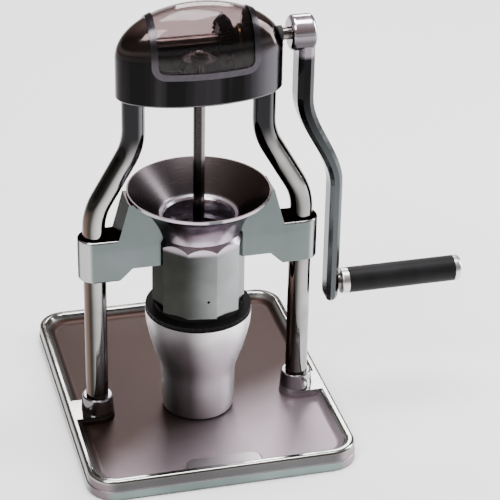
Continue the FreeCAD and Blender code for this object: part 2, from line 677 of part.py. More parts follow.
def make_shaft_circlip():
    clip = circlip_space(0)
    gap = block(-1.6, 1.6, COLUMN_Y + 1, COLUMN_Y + SHAFT_RADIUS + 3, SPIDER_BOTTOM_Z - 4,
                SPIDER_BOTTOM_Z)
    return clip.cut(gap)


def make_shaft_spider():
    """Ring, three arms and hub that carry the shaft's lower bush."""
    hub_radius = BUSH_RADIUS + 2.4
    ring = disc(SPIDER_RADIUS, SPIDER_BOTTOM_Z, SPIDER_TOP_Z)
    ring = ring.cut(disc(FEED_RADIUS, SPIDER_BOTTOM_Z - 1, SPIDER_TOP_Z + 1))
    parts = [ring, disc(hub_radius, SPIDER_BOTTOM_Z, SPIDER_TOP_Z)]
    for i in range(SPIDER_ARM_COUNT):
        arm = block(hub_radius - 1, FEED_RADIUS + 1, COLUMN_Y - SPIDER_ARM_WIDTH / 2,
                    COLUMN_Y + SPIDER_ARM_WIDTH / 2, SPIDER_BOTTOM_Z, SPIDER_TOP_Z - 1)
        parts.append(turned_copy(arm, 90 + 360 * i / SPIDER_ARM_COUNT))
    spider = fuse(parts)
    return spider.cut(disc(BUSH_RADIUS + SLIP, SPIDER_BOTTOM_Z - 1, SPIDER_TOP_Z + 1))


def flanged_bush(z_low, z_seat):
    """Bronze bush with its flange on top of z_seat."""
    bore = SHAFT_RADIUS + RUNNING
    flange_radius = BUSH_RADIUS + 1.8
    return turned([(bore, z_low), (BUSH_RADIUS, z_low), (BUSH_RADIUS, z_seat + SLIP),
                   (flange_radius, z_seat + SLIP), (flange_radius, z_seat + BUSH_FLANGE),
                   (bore, z_seat + BUSH_FLANGE)])


def cone_burr_profile():
    top_z = SHAFT_BOTTOM_Z + CONE_BURR_HEIGHT
    bore = SHAFT_RADIUS + SLIP
    return [(bore, SHAFT_BOTTOM_Z + 0.2), (CONE_BURR_RADIUS - 1, SHAFT_BOTTOM_Z + 0.2),
            (CONE_BURR_RADIUS, SHAFT_BOTTOM_Z + 1.2), (CONE_BURR_RADIUS - 0.4, SHAFT_BOTTOM_Z + 5),
            (CONE_BURR_TOP_RADIUS + 3.5, top_z - 7), (CONE_BURR_TOP_RADIUS, top_z), (bore, top_z)]


def make_cone_burr():
    """Inner burr, with flutes that lean along its cone."""
    burr = turned(cone_burr_profile())
    top_z = SHAFT_BOTTOM_Z + CONE_BURR_HEIGHT
    lean = math.degrees(math.atan2(CONE_BURR_RADIUS - CONE_BURR_TOP_RADIUS, CONE_BURR_HEIGHT))
    flute = block(-CONE_FLUTE_DEPTH, CONE_FLUTE_DEPTH, -CONE_FLUTE_DEPTH, CONE_FLUTE_DEPTH,
                  -2, CONE_BURR_HEIGHT + 4)
    flute.rotate(point(0, 0, 0), Z_AXIS, 45)
    flute.rotate(point(0, 0, 0), Y_AXIS, -lean)
    flute.rotate(point(0, 0, 0), X_AXIS, -12)
    flute.translate(point(CONE_BURR_RADIUS + 0.4, COLUMN_Y + 2, SHAFT_BOTTOM_Z))
    flutes = [turned_copy(flute, 360 * i / CONE_FLUTES) for i in range(CONE_FLUTES)]
    burr = burr.cut(Part.makeCompound(flutes))
    return burr.common(disc(CONE_BURR_RADIUS + 1, SHAFT_BOTTOM_Z, top_z))


def burr_screw_radius():
    return 2.5


def make_cone_burr_screw():
    """Screw and captive washer that hold the inner burr from below."""
    washer_top = SHAFT_BOTTOM_Z - SLIP
    screw = disc(burr_screw_radius(), washer_top - 1, SHAFT_BOTTOM_Z + 12)
    washer = disc(9.0, washer_top - 1.6, washer_top)
    head = disc(5.0, washer_top - 5.2, washer_top - 1.6)
    recess = hexagon(5.0, washer_top - 5.3, washer_top - 2.8)
    return fuse([screw, washer, head]).cut(recess)


def make_ring_burr():
    """Outer burr; its bore narrows from the mouth and ends in a grinding land."""
    low = RING_BURR_BOTTOM_Z
    high = low + RING_BURR_HEIGHT
    burr = turned([(RING_BURR_LAND_RADIUS, low), (RING_BURR_RADIUS, low), (RING_BURR_RADIUS, high),
                   (RING_BURR_MOUTH_RADIUS, high), (RING_BURR_WAIST_RADIUS, low + 8),
                   (RING_BURR_LAND_RADIUS, low + 4)])
    holes = [turned_copy(disc(0.9, low - 1, low + 4, RING_BURR_RADIUS - 1.9), 120 * i)
             for i in range(3)]
    return burr.cut(Part.makeCompound(holes))


def make_burr_carrier():
    """Sleeve that holds the outer burr and slides in the housing."""
    seat_z = RING_BURR_BOTTOM_Z - SLIP
    step_z = COLLAR_NECK_TOP_Z + MOVING + CARRIER_TRAVEL + 0.6
    carrier = turned([(RING_BURR_LAND_RADIUS, CARRIER_BOTTOM_Z),
                      (CARRIER_SKIRT_RADIUS, CARRIER_BOTTOM_Z), (CARRIER_SKIRT_RADIUS, step_z),
                      (CARRIER_RADIUS, step_z), (CARRIER_RADIUS, CARRIER_TOP_Z),
                      (RING_BURR_RADIUS + SLIP, CARRIER_TOP_Z), (RING_BURR_RADIUS + SLIP, seat_z),
                      (RING_BURR_LAND_RADIUS, seat_z)])
    slot_half = KEY_DIAMETER / 2 + SLIDING
    slot_reach = KEY_DIAMETER / 2 + CARRIER_TRAVEL + MOVING
    slot = block(-slot_half, slot_half, COLUMN_Y + CARRIER_RADIUS - KEY_DIAMETER / 2 - 0.6,
                 COLUMN_Y + CARRIER_RADIUS + 1, KEY_Z - slot_reach, KEY_Z + slot_reach)
    carrier = carrier.cut(slot)
    holes = [turned_copy(disc(1.3, CARRIER_BOTTOM_Z - 1, seat_z + 1, RING_BURR_RADIUS - 1.9), 120 * i)
             for i in range(3)]
    return carrier.cut(Part.makeCompound(holes))


def make_ring_burr_screws():
    """Three screws from below through the carrier into the outer burr."""
    x = RING_BURR_RADIUS - 1.9
    shank = disc(0.85, CARRIER_BOTTOM_Z + 4, RING_BURR_BOTTOM_Z + 3.5, x)
    head = disc(1.2, CARRIER_BOTTOM_Z + 2, CARRIER_BOTTOM_Z + 4, x)
    screw = head.fuse(shank).removeSplitter()
    return Part.makeCompound([turned_copy(screw, 120 * i) for i in range(3)])


# ================================================================ grind adjuster

def make_adjuster_collar():
    """Black collar: bevelled flange, hub below the housing and neck inside it."""
    hub_radius = COLLAR_HUB_RADIUS
    bevel_z = COLLAR_FLANGE_TOP_Z + 1.2
    collar = turned([(COLLAR_BORE, COLLAR_BOTTOM_Z), (COLLAR_RADIUS, COLLAR_BOTTOM_Z),
                     (COLLAR_RADIUS, COLLAR_FLANGE_TOP_Z), (hub_radius + 0.8, bevel_z),
                     (hub_radius, COLLAR_TOP_Z), (COLLAR_NECK_RADIUS, COLLAR_TOP_Z),
                     (COLLAR_NECK_RADIUS, COLLAR_NECK_TOP_Z), (COLLAR_BORE, COLLAR_NECK_TOP_Z)])
    grips = []
    for i in range(COLLAR_GRIPS):
        grip = disc(COLLAR_GRIP_DEPTH * 2, COLLAR_BOTTOM_Z - 1, COLLAR_FLANGE_TOP_Z - 0.8,
                    COLLAR_RADIUS + COLLAR_GRIP_DEPTH)
        grips.append(turned_copy(grip, 360 * i / COLLAR_GRIPS))
    collar = collar.cut(Part.makeCompound(grips))
    return collar.cut(snap_ring_space(SNAP_RING_GAP))


def make_collar_snap_ring():
    gap = block(-2, 2, COLUMN_Y + COLLAR_NECK_RADIUS - 3, COLUMN_Y + COLLAR_NECK_RADIUS + 3,
                SNAP_RING_Z - 1, SNAP_RING_Z + 3)
    return snap_ring_space(0).cut(gap)


# ================================================================ cup

def cup_curve(inset, z_start):
    """Tulip outline as a smooth curve from z_start to the rim."""
    height = CUP_TOP_Z - CUP_BOTTOM_Z
    stations = [(0.32, CUP_WAIST_RADIUS + 0.1), (0.44, CUP_WAIST_RADIUS + 1.0),
                (0.58, (CUP_WAIST_RADIUS + CUP_RIM_RADIUS) / 2 - 1.2),
                (0.74, CUP_RIM_RADIUS - 3.2), (0.88, CUP_RIM_RADIUS - 0.8)]
    points = [section_point(CUP_BASE_RADIUS - inset, z_start)]
    for share, radius in stations:
        points.append(section_point(radius - inset, CUP_BOTTOM_Z + share * height))
    points.append(section_point(CUP_RIM_RADIUS - inset, CUP_TOP_Z))
    curve = Part.BSplineCurve()
    curve.interpolate(points)
    return curve.toShape(), points[0], points[-1]


def make_grounds_cup():
    base_z = CUP_BOTTOM_Z + CUP_BASE_ROUND
    outer, outer_low, outer_high = cup_curve(0, base_z)
    inner, inner_low, inner_high = cup_curve(CUP_WALL, CUP_BOTTOM_Z + CUP_FLOOR + CUP_BASE_ROUND)
    foot = section_point(CUP_BASE_RADIUS - CUP_BASE_ROUND, CUP_BOTTOM_Z)
    slope = CUP_BASE_ROUND * (1 - math.sqrt(0.5))
    corner = section_point(CUP_BASE_RADIUS - slope, CUP_BOTTOM_Z + slope)
    centre = section_point(0, CUP_BOTTOM_Z)
    floor_centre = section_point(0, CUP_BOTTOM_Z + CUP_FLOOR)
    floor_edge = section_point(inner_low.x - CUP_BASE_ROUND, CUP_BOTTOM_Z + CUP_FLOOR)
    floor_corner = section_point(inner_low.x - slope, CUP_BOTTOM_Z + CUP_FLOOR + slope)
    return turned_edges([line(centre, foot), Part.Arc(foot, corner, outer_low).toShape(), outer,
                         line(outer_high, inner_high), inner,
                         Part.Arc(inner_low, floor_corner, floor_edge).toShape(),
                         line(floor_edge, floor_centre), line(floor_centre, centre)])


# ================================================================ gear case

def case_solid(offset, z_low, edge_round=0.0):
    """Domed oval solid, larger than the case by the offset."""
    dome = CASE_TOP_Z - CASE_SPRING_Z + offset
    barrel = Part.makeCylinder(dome, CASE_SPRING_Z - z_low, point(0, 0, z_low), Z_AXIS)
    cap = Part.makeSphere(dome, point(0, 0, CASE_SPRING_Z), Z_AXIS, 0, 90, 360)
    shape = barrel.fuse(cap).removeSplitter()
    if edge_round > 0:
        shape = shape.makeFillet(edge_round, edges_at_height(shape, z_low))
    stretch = FreeCAD.Matrix()
    stretch.scale((CASE_HALF_WIDTH + offset) / dome, (CASE_HALF_DEPTH + offset) / dome, 1)
    shape = shape.transformGeometry(stretch)
    shape.translate(point(0, COLUMN_Y, 0))
    return shape


def window_zone(margin):
    """Space of the window, seen from the front, larger by the margin."""
    half = WINDOW_HALF_WIDTH + margin
    zone = block(-half, half, COLUMN_Y - 2 * CASE_HALF_DEPTH, COLUMN_Y + 2 * CASE_HALF_DEPTH,
                 WINDOW_BOTTOM_Z - margin, CASE_TOP_Z + 10)
    lower = [edge for edge in edges_at_height(zone, WINDOW_BOTTOM_Z - margin)
             if edge.BoundBox.YLength > 1]
    return zone.makeFillet(WINDOW_CORNER + margin, lower)


def case_lugs(radius, z_low, z_high):
    return [disc(radius, z_low, z_high, side * CASE_LUG_X, COLUMN_Y + turn * CASE_LUG_Y)
            for side in (-1, 1) for turn in (-1, 1)]


def make_gear_case():
    inner = case_solid(-CASE_WALL, CASE_BOTTOM_Z - 1)
    shell = case_solid(0, CASE_BOTTOM_Z, CASE_EDGE_ROUND).cut(inner)
    shell = shell.cut(window_zone(FRAME_WIDTH + SLIP))
    outer = case_solid(-CASE_WALL / 2, CASE_BOTTOM_Z - 1)
    for lug in case_lugs(CASE_LUG_RADIUS, PLATE_TOP_Z + SLIP, PLATE_TOP_Z + CASE_LUG_HEIGHT):
        shell = shell.fuse(lug.common(outer))
    shell = shell.removeSplitter()
    for hole in case_lugs(SMALL_SCREW_DIAMETER / 2 + SLIP, PLATE_TOP_Z - 1, PLATE_TOP_Z + 8):
        shell = shell.cut(hole)
    shell = shell.fuse(make_end_boss().common(outer)).removeSplitter()
    shell = shell.cut(rod(CRANK_BUSH_RADIUS + SLIP, END_BOSS_START_X - END_BUSH_LENGTH - MOVING,
                          END_BOSS_START_X + 1))
    return shell.cut(rod(SEAL_RADIUS + SLIP, CASE_HALF_WIDTH / 2, CASE_HALF_WIDTH + 5))


def make_end_boss():
    """Boss inside the left wall that holds the crank shaft's far end."""
    return rod(CRANK_BUSH_RADIUS + END_BOSS_WALL, -CASE_HALF_WIDTH, END_BOSS_START_X)


def make_window_frame():
    ring = window_zone(FRAME_WIDTH).cut(window_zone(0))
    body = case_solid(FRAME_PROUD, CASE_BOTTOM_Z).cut(case_solid(-CASE_WALL, CASE_BOTTOM_Z - 1))
    return body.common(ring)


def make_case_window():
    pane = case_solid(0, CASE_BOTTOM_Z).cut(case_solid(-CASE_WALL, CASE_BOTTOM_Z - 1))
    return pane.common(window_zone(-SLIP))


def make_case_base_plate():
    """Plate that closes the case from below and carries both shafts and the legs' ends."""
    cap_radius = LEG_RADIUS + LEG_CAP_WALL
    hub_radius = BUSH_RADIUS + 2.2
    fill = case_solid(-CASE_WALL - PLATE_GAP, PLATE_BOTTOM_Z)
    plate = block(-CASE_HALF_WIDTH, CASE_HALF_WIDTH, COLUMN_Y - CASE_HALF_DEPTH,
                  COLUMN_Y + CASE_HALF_DEPTH, PLATE_BOTTOM_Z, PLATE_TOP_Z)
    parts = [plate, disc(hub_radius, PLATE_BOTTOM_Z, upper_bush_seat_z())]
    for side in (-1, 1):
        parts.append(disc(cap_radius, PLATE_BOTTOM_Z, LEG_CAP_Z + LEG_CAP_THICKNESS,
                          side * LEG_HIGH_X))
    plate = fuse(parts).common(fill)
    plate = plate.cut(disc(BUSH_RADIUS + SLIP, PLATE_BOTTOM_Z - 1, upper_bush_seat_z() + 1))
    for side in (-1, 1):
        x = side * LEG_HIGH_X
        plate = plate.cut(disc(LEG_RADIUS + SLIP, PLATE_BOTTOM_Z - 1, LEG_CAP_Z, x))
        plate = plate.cut(disc(LEG_SCREW_DIAMETER / 2 + SLIP, LEG_CAP_Z - 1,
                               LEG_CAP_Z + LEG_CAP_THICKNESS + 1, x))
    for hole in case_lugs(SMALL_SCREW_DIAMETER / 2 + SLIP, PLATE_BOTTOM_Z - 1, PLATE_TOP_Z + 1):
        plate = plate.cut(hole)
    for hole in case_lugs(SMALL_SCREW_DIAMETER * 0.8 + SLIP, PLATE_BOTTOM_Z - 1,
                          small_screw_seat_z()):
        plate = plate.cut(hole)
    for x, y in pedestal_screw_places():
        plate = plate.cut(disc(SMALL_SCREW_DIAMETER / 2 + SLIP, PLATE_BOTTOM_Z - 1,
                               PLATE_TOP_Z + 1, x, y))
        plate = plate.cut(disc(SMALL_SCREW_DIAMETER * 0.8 + SLIP, PLATE_BOTTOM_Z - 1,
                               small_screw_seat_z(), x, y))
    return plate


def small_screw_seat_z():
    """Depth of the counterbores under the base plate."""
    return PLATE_BOTTOM_Z + SMALL_SCREW_DIAMETER * 0.8


def pedestal_screw_places():
    x = BARREL_START_X + PEDESTAL_THICKNESS / 2
    return [(x, COLUMN_Y - PEDESTAL_WIDTH / 4), (x, COLUMN_Y + PEDESTAL_WIDTH / 4)]


def upper_bush_seat_z():
    return CROWN_HUB_BOTTOM_Z - MOVING - BUSH_FLANGE


def make_case_screws():
    screws = []
    for side in (-1, 1):
        for turn in (-1, 1):
            screws.append(cap_screw(SMALL_SCREW_DIAMETER, small_screw_seat_z() - SLIP,
                                    PLATE_TOP_Z + 7, side * CASE_LUG_X,
                                    COLUMN_Y + turn * CASE_LUG_Y))
    return Part.makeCompound(screws)


def make_pedestal_screws():
    return Part.makeCompound([
        cap_screw(SMALL_SCREW_DIAMETER, small_screw_seat_z() - SLIP, PLATE_TOP_Z + 9, x, y)
        for x, y in pedestal_screw_places()])


def make_leg_top_screws():
    seat = LEG_CAP_Z + LEG_CAP_THICKNESS + SLIP
    return Part.makeCompound([
        cap_screw(LEG_SCREW_DIAMETER, seat, LEG_CAP_Z - PLUG_LENGTH + 4, side * LEG_HIGH_X, COLUMN_Y)
        for side in (-1, 1)])


# ================================================================ gears

def gear_point(along, out):
    """Radius and height of a point on a bevel gear whose apex is at the origin.

    along runs down the pitch cone from the apex and out stands square to it.
    """
    half = math.sqrt(0.5)
    return along * half + out * half, -along * half + out * half


def gear_tooth():
    """One straight tooth on a 45-degree pitch cone, its faces all pointing at the apex."""
    length = GEAR_PITCH_RADIUS / math.sqrt(0.5)
    half_thickness = math.pi * GEAR_MODULE / 4 - GEAR_BACKLASH / 2
    tip = GEAR_ADDENDUM * GEAR_MODULE
    root = GEAR_DEDENDUM * GEAR_MODULE
    outline = [(-root - 0.2, half_thickness * 1.42), (0, half_thickness),
               (tip, half_thickness * 0.42)]
    outline += [(out, -width) for out, width in reversed(outline)]
    rings = []
    for share in (1.0, (length - GEAR_FACE) / length):
        corners = []
        for out, width in outline:
            radius, z = gear_point(length * share, out * share)
            corners.append(point(radius, width * share, z))
        rings.append(corners)
    outer, inner = rings
    faces = [Part.Face(Part.makePolygon(outer + outer[:1])),
             Part.Face(Part.makePolygon(inner + inner[:1]))]
    for i in range(len(outer)):
        j = (i + 1) % len(outer)
        faces.append(Part.Face(Part.makePolygon([outer[i], outer[j], inner[j], inner[i], outer[i]])))
    tooth = Part.Solid(Part.Shell(faces))
    if tooth.Volume < 0:
        tooth.reverse()
    return tooth


def gear_blank(hub_depth, bore):
    """Body under the teeth, from the hub's end to the gear's nose, apex at the origin."""
    length = GEAR_PITCH_RADIUS / math.sqrt(0.5)
    share = (length - GEAR_FACE) / length
    root = GEAR_DEDENDUM * GEAR_MODULE
    outer = gear_point(length, -root)
    inner = gear_point(length * share, -root * share)
    back = gear_point(length, -root - GEAR_BACK)
    outline = [(bore, -hub_depth), (GEAR_HUB_RADIUS, -hub_depth), (GEAR_HUB_RADIUS, back[1]),
               back, outer, inner, (bore, inner[1])]
    return turned(outline, 0, 0)


def bevel_gear(hub_depth, bore, phase):
    """Bevel gear below its apex, with a tooth at the phase angle."""
    tooth = gear_tooth()
    gear = gear_blank(hub_depth, bore)
    teeth = []
    for i in range(GEAR_TEETH):
        copy = tooth.copy()
        copy.rotate(point(0, 0, 0), Z_AXIS, phase + 360 * i / GEAR_TEETH)
        teeth.append(copy)
    return gear.fuse(teeth).removeSplitter()


def crown_seat_z():
    """Top of the crown gear, where its nut bears."""
    length = GEAR_PITCH_RADIUS / math.sqrt(0.5)
    share = (length - GEAR_FACE) / length
    return CRANK_Z + gear_point(length * share, -GEAR_DEDENDUM * GEAR_MODULE * share)[1]


def crown_pin_space(gap):
    """Cross pin through the crown gear's hub and the shaft."""
    z = CROWN_HUB_BOTTOM_Z + GEAR_PIN_DIAMETER / 2 + 0.7
    return rod(GEAR_PIN_DIAMETER / 2 + gap, -GEAR_HUB_RADIUS, GEAR_HUB_RADIUS, z)


def make_crown_gear():
    half_pitch = 180 / GEAR_TEETH
    gear = bevel_gear(CRANK_Z - CROWN_HUB_BOTTOM_Z, SHAFT_RADIUS + SLIP, half_pitch)
    gear.translate(point(0, COLUMN_Y, CRANK_Z))
    return gear.cut(crown_pin_space(SLIP))


def make_crown_nut():
    low = crown_seat_z() + SLIP
    nut = hexagon(CROWN_STUD_DIAMETER * 1.7, low, low + CROWN_NUT_HEIGHT - 1)
    washer = disc(CROWN_STUD_DIAMETER * 1.05, low, low + 1)
    return fuse([nut, washer]).cut(disc(CROWN_STUD_DIAMETER / 2 + SLIP, low - 1,
                                        low + CROWN_NUT_HEIGHT + 1))


def pinion_pin_space(gap):
    x = PINION_HUB_END_X - GEAR_PIN_DIAMETER / 2 - 0.7
    return Part.makeCylinder(GEAR_PIN_DIAMETER / 2 + gap, 2 * GEAR_HUB_RADIUS,
                             point(x, COLUMN_Y, CRANK_Z - GEAR_HUB_RADIUS), Z_AXIS)


def make_pinion_gear():
    gear = bevel_gear(PINION_HUB_END_X, CRANK_SHAFT_RADIUS + SLIP, 0)
    gear.rotate(point(0, 0, 0), Y_AXIS, -90)
    gear.translate(point(0, COLUMN_Y, CRANK_Z))
    return gear.cut(pinion_pin_space(SLIP))


# ================================================================ crank bearings

def make_bearing_pedestal():
    """Pedestal on the base plate whose barrel holds the crank shaft's two bushes."""
    column = block(BARREL_START_X, BARREL_START_X + PEDESTAL_THICKNESS,
                   COLUMN_Y - PEDESTAL_WIDTH / 2, COLUMN_Y + PEDESTAL_WIDTH / 2,
                   PLATE_TOP_Z + SLIP, CRANK_Z)
    barrel = rod(BARREL_RADIUS, BARREL_START_X, BARREL_END_X)
    pedestal = column.fuse(barrel).removeSplitter()
    pedestal = pedestal.cut(rod(CRANK_BUSH_RADIUS + SLIP, BARREL_START_X - 1, BARREL_END_X + 1))
    for x, y in pedestal_screw_places():
        pedestal = pedestal.cut(disc(SMALL_SCREW_DIAMETER / 2 + SLIP, PLATE_TOP_Z - 1,
                                     PLATE_TOP_Z + 10, x, y))
    return pedestal


def make_crank_bushes():
    bore = CRANK_SHAFT_RADIUS + RUNNING
    flange_radius = CRANK_BUSH_RADIUS + 1.6
    end_bush = rod(CRANK_BUSH_RADIUS, END_BOSS_START_X - END_BUSH_LENGTH, END_BOSS_START_X - SLIP)
    bushes = [end_bush.cut(rod(bore, END_BOSS_START_X - END_BUSH_LENGTH - 1, END_BOSS_START_X + 1))]
    for end, inward in ((BARREL_START_X, 1), (BARREL_END_X, -1)):
        barrel = sorted((end + inward * SLIP, end + inward * CRANK_BUSH_LENGTH))
        flange = sorted((end - inward * BUSH_FLANGE_STAND, end - inward * SLIP))
        bush = rod(CRANK_BUSH_RADIUS, min(barrel[0], flange[0]), max(barrel[1], flange[1]))
        bush = bush.fuse(rod(flange_radius, *flange)).removeSplitter()
        bushes.append(bush.cut(rod(bore, BARREL_START_X - 5, BARREL_END_X + 5)))
    return Part.makeCompound(bushes)


def make_shaft_seal():
    ring = rod(SEAL_RADIUS, SEAL_START_X, SEAL_END_X)
    return ring.cut(rod(CRANK_SHAFT_RADIUS + 2 * RUNNING, SEAL_START_X - 1, SEAL_END_X + 1))


# ================================================================ crank

def make_crank_shaft():
    nose_x = END_BOSS_START_X - END_BUSH_LENGTH + MOVING
    shaft = rod(CRANK_SHAFT_RADIUS, nose_x, BOSS_END_X - 6)
    shaft = shaft.makeChamfer(0.6, edges_across_x(shaft, nose_x))
    shaft = shaft.cut(rod(crank_screw_radius() + SLIP, BOSS_END_X - 24, BOSS_END_X))
    return shaft.cut(pinion_pin_space(SLIP))


def crank_screw_radius():
    return 2.5


def make_crank_screw():
    """Low-head screw in the outer face of the boss, into the shaft's end."""
    head_start = BOSS_END_X - 5.4
    head = rod(5.0, head_start, head_start + 3.4)
    shank = rod(crank_screw_radius(), BOSS_END_X - 22, head_start + 1)
    recess = hexagon(4.0, 0, 2.4, 0, 0)
    recess.rotate(point(0, 0, 0), Y_AXIS, 90)
    recess.translate(point(head_start + 1.2, COLUMN_Y, CRANK_Z))
    return head.fuse(shank).removeSplitter().cut(recess)


def arm_section(x, z, width, depth):
    """Level cut through the crank arm: a bar with four bevelled corners."""
    half_x = width / 2
    half_y = depth / 2
    bevel = half_x * 2 * ARM_BEVEL
    corners = [(half_x, half_y - bevel), (half_x - bevel, half_y), (bevel - half_x, half_y),
               (-half_x, half_y - bevel), (-half_x, bevel - half_y), (bevel - half_x, -half_y),
               (half_x - bevel, -half_y), (half_x, bevel - half_y)]
    points = [point(x + dx, COLUMN_Y + dy, z) for dx, dy in corners]
    return Part.makePolygon(points + points[:1])


def arm_stations():
    """Centre x, height, width and depth of each section from the boss to the rounded end."""
    drop = ARM_BEND_TOP_Z - ARM_BEND_BOTTOM_Z
    shift = ARM_LOW_X - CRANK_HIGH_X
    stations = [(CRANK_HIGH_X, CRANK_Z - BOSS_RADIUS / 3, ARM_HIGH_WIDTH, ARM_HIGH_DEPTH)]
    for i in range(ARM_BEND_STEPS + 1):
        share = i / ARM_BEND_STEPS
        ease = share * share * (3 - 2 * share)
        slope = shift * 6 * share * (1 - share) / drop
        width = ARM_HIGH_WIDTH + (ARM_LOW_WIDTH - ARM_HIGH_WIDTH) * share
        depth = ARM_HIGH_DEPTH + (ARM_LOW_DEPTH - ARM_HIGH_DEPTH) * share
        stations.append((CRANK_HIGH_X + shift * ease, ARM_BEND_TOP_Z - drop * share,
                         width * math.sqrt(1 + slope * slope), depth))
    end_round = ARM_LOW_DEPTH / 2
    for turn in (0, 20, 40, 60, 75):
        fall = end_round * (1 - math.sin(math.radians(turn)))
        shrink = 1 - (1 - math.cos(math.radians(turn))) * 0.75
        stations.append((ARM_LOW_X, ARM_END_Z + fall, ARM_LOW_WIDTH * shrink, ARM_LOW_DEPTH * shrink))
    return stations


def make_crank_arm():
    boss = rod(BOSS_RADIUS, BOSS_START_X, BOSS_END_X)
    rims = edges_across_x(boss, BOSS_START_X) + edges_across_x(boss, BOSS_END_X)
    boss = boss.makeFillet(BOSS_ROUND, rims)
    arm = Part.makeLoft([arm_section(*station) for station in arm_stations()], True, True)
    crank = boss.fuse(arm).removeSplitter()
    crank = crank.cut(rod(CRANK_SHAFT_RADIUS + SLIP, BOSS_START_X - 1, BOSS_END_X - 6 + SLIP))
    crank = crank.cut(rod(5.0 + SLIP, BOSS_END_X - 5.4 - SLIP, BOSS_END_X + 1))
    crank = crank.cut(rod(crank_screw_radius() + SLIP, BOSS_END_X - 8, BOSS_END_X))
    return crank.cut(spindle_seat())


# ================================================================ grip

def spindle_start_x():
    return ARM_LOW_X - ARM_LOW_WIDTH / 2 + 1.5


def spindle_seat():
    return rod(SPINDLE_DIAMETER / 2 + SLIP, spindle_start_x() - SLIP, GRIP_START_X, GRIP_Z)


def make_grip_spindle():
    """Pin fixed in the arm, with a head that keeps the grip on."""
    end = GRIP_SLEEVE_END_X - 3
    pin = rod(SPINDLE_DIAMETER / 2, spindle_start_x(), end, GRIP_Z)
    shoulder = rod(SPINDLE_HEAD_RADIUS, ARM_LOW_X + ARM_LOW_WIDTH / 2 + SLIP, GRIP_START_X - MOVING,
                   GRIP_Z)
    head = rod(SPINDLE_HEAD_RADIUS, end - SPINDLE_HEAD_THICKNESS, end, GRIP_Z)
    return fuse([pin, shoulder, head])


def make_grip_ferrule():
    ring = rod(GRIP_RADIUS, GRIP_START_X, GRIP_START_X + FERRULE_LENGTH, GRIP_Z)
    ring = ring.makeFillet(GRIP_EDGE_ROUND, edges_across_x(ring, GRIP_START_X))
    return ring.cut(rod(grip_bore(), GRIP_START_X - 1, GRIP_SLEEVE_START_X + 1, GRIP_Z))


def grip_bore():
    return SPINDLE_DIAMETER / 2 + RUNNING


def make_grip_sleeve():
    sleeve = rod(GRIP_RADIUS, GRIP_SLEEVE_START_X, GRIP_SLEEVE_END_X, GRIP_Z)
    head_space = GRIP_SLEEVE_END_X - 3 - SPINDLE_HEAD_THICKNESS - MOVING
    sleeve = sleeve.cut(rod(grip_bore(), GRIP_SLEEVE_START_X - 1, GRIP_SLEEVE_END_X + 1, GRIP_Z))
    return sleeve.cut(rod(SPINDLE_HEAD_RADIUS + MOVING, head_space, GRIP_SLEEVE_END_X + 1, GRIP_Z))


def make_grip_end_cap():
    """Domed cap with a plug that is pressed into the sleeve's end."""
    start = GRIP_SLEEVE_END_X + SLIP
    cap = rod(GRIP_RADIUS, start, start + GRIP_CAP_LENGTH, GRIP_Z)
    cap = cap.makeFillet(GRIP_CAP_LENGTH * 0.6, edges_across_x(cap, start + GRIP_CAP_LENGTH))
    plug = rod(SPINDLE_HEAD_RADIUS + MOVING - SLIP, start - 2, start + 1, GRIP_Z)
    return cap.fuse(plug).removeSplitter()


# ================================================================ build

def build_all():
    right_leg = make_right_leg()
    pieces = {
        "base_tray": make_tray(),
        "base_pad": make_base_pad(),
        "leg_base_screws": make_leg_base_screws(),
        "right_leg": right_leg,
        "left_leg": mirrored(right_leg),
        "leg_plugs": make_leg_plugs(),
        "burr_housing": make_burr_housing(),
        "clamp_set_screws": make_clamp_set_screws(),
        "carrier_key_pin": key_pin(KEY_DIAMETER / 2, -0.3),
        "shaft_spider": make_shaft_spider(),
        "spider_bush": flanged_bush(SPIDER_BOTTOM_Z, SPIDER_TOP_Z),
        "collar_snap_ring": make_collar_snap_ring(),
        "gear_case": make_gear_case(),
        "case_window": make_case_window(),
        "window_frame": make_window_frame(),
        "case_base_plate": make_case_base_plate(),
        "case_screws": make_case_screws(),
        "leg_top_screws": make_leg_top_screws(),
        "upper_bush": flanged_bush(PLATE_BOTTOM_Z + 1, upper_bush_seat_z()),
        "bearing_pedestal": make_bearing_pedestal(),
        "pedestal_screws": make_pedestal_screws(),
        "crank_bushes": make_crank_bushes(),
        "shaft_seal": make_shaft_seal(),
        "drive_shaft": make_drive_shaft(),
        "shaft_circlip": make_shaft_circlip(),
        "crown_gear": make_crown_gear(),
        "crown_pin": crown_pin_space(0),
        "crown_nut": make_crown_nut(),
        "cone_burr": make_cone_burr(),
        "cone_burr_screw": make_cone_burr_screw(),
        "ring_burr": make_ring_burr(),
        "ring_burr_screws": make_ring_burr_screws(),
        "burr_carrier": make_burr_carrier(),
        "adjuster_collar": make_adjuster_collar(),
        "grounds_cup": make_grounds_cup(),
        "pinion_gear": make_pinion_gear(),
        "pinion_pin": pinion_pin_space(0),
        "crank_shaft": make_crank_shaft(),
        "crank_arm": make_crank_arm(),
        "crank_screw": make_crank_screw(),
        "grip_spindle": make_grip_spindle(),
        "grip_ferrule": make_grip_ferrule(),
        "grip_sleeve": make_grip_sleeve(),
        "grip_end_cap": make_grip_end_cap(),
    }
    for name, shape in pieces.items():
        export(name, shape)


build_all()
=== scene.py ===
import math

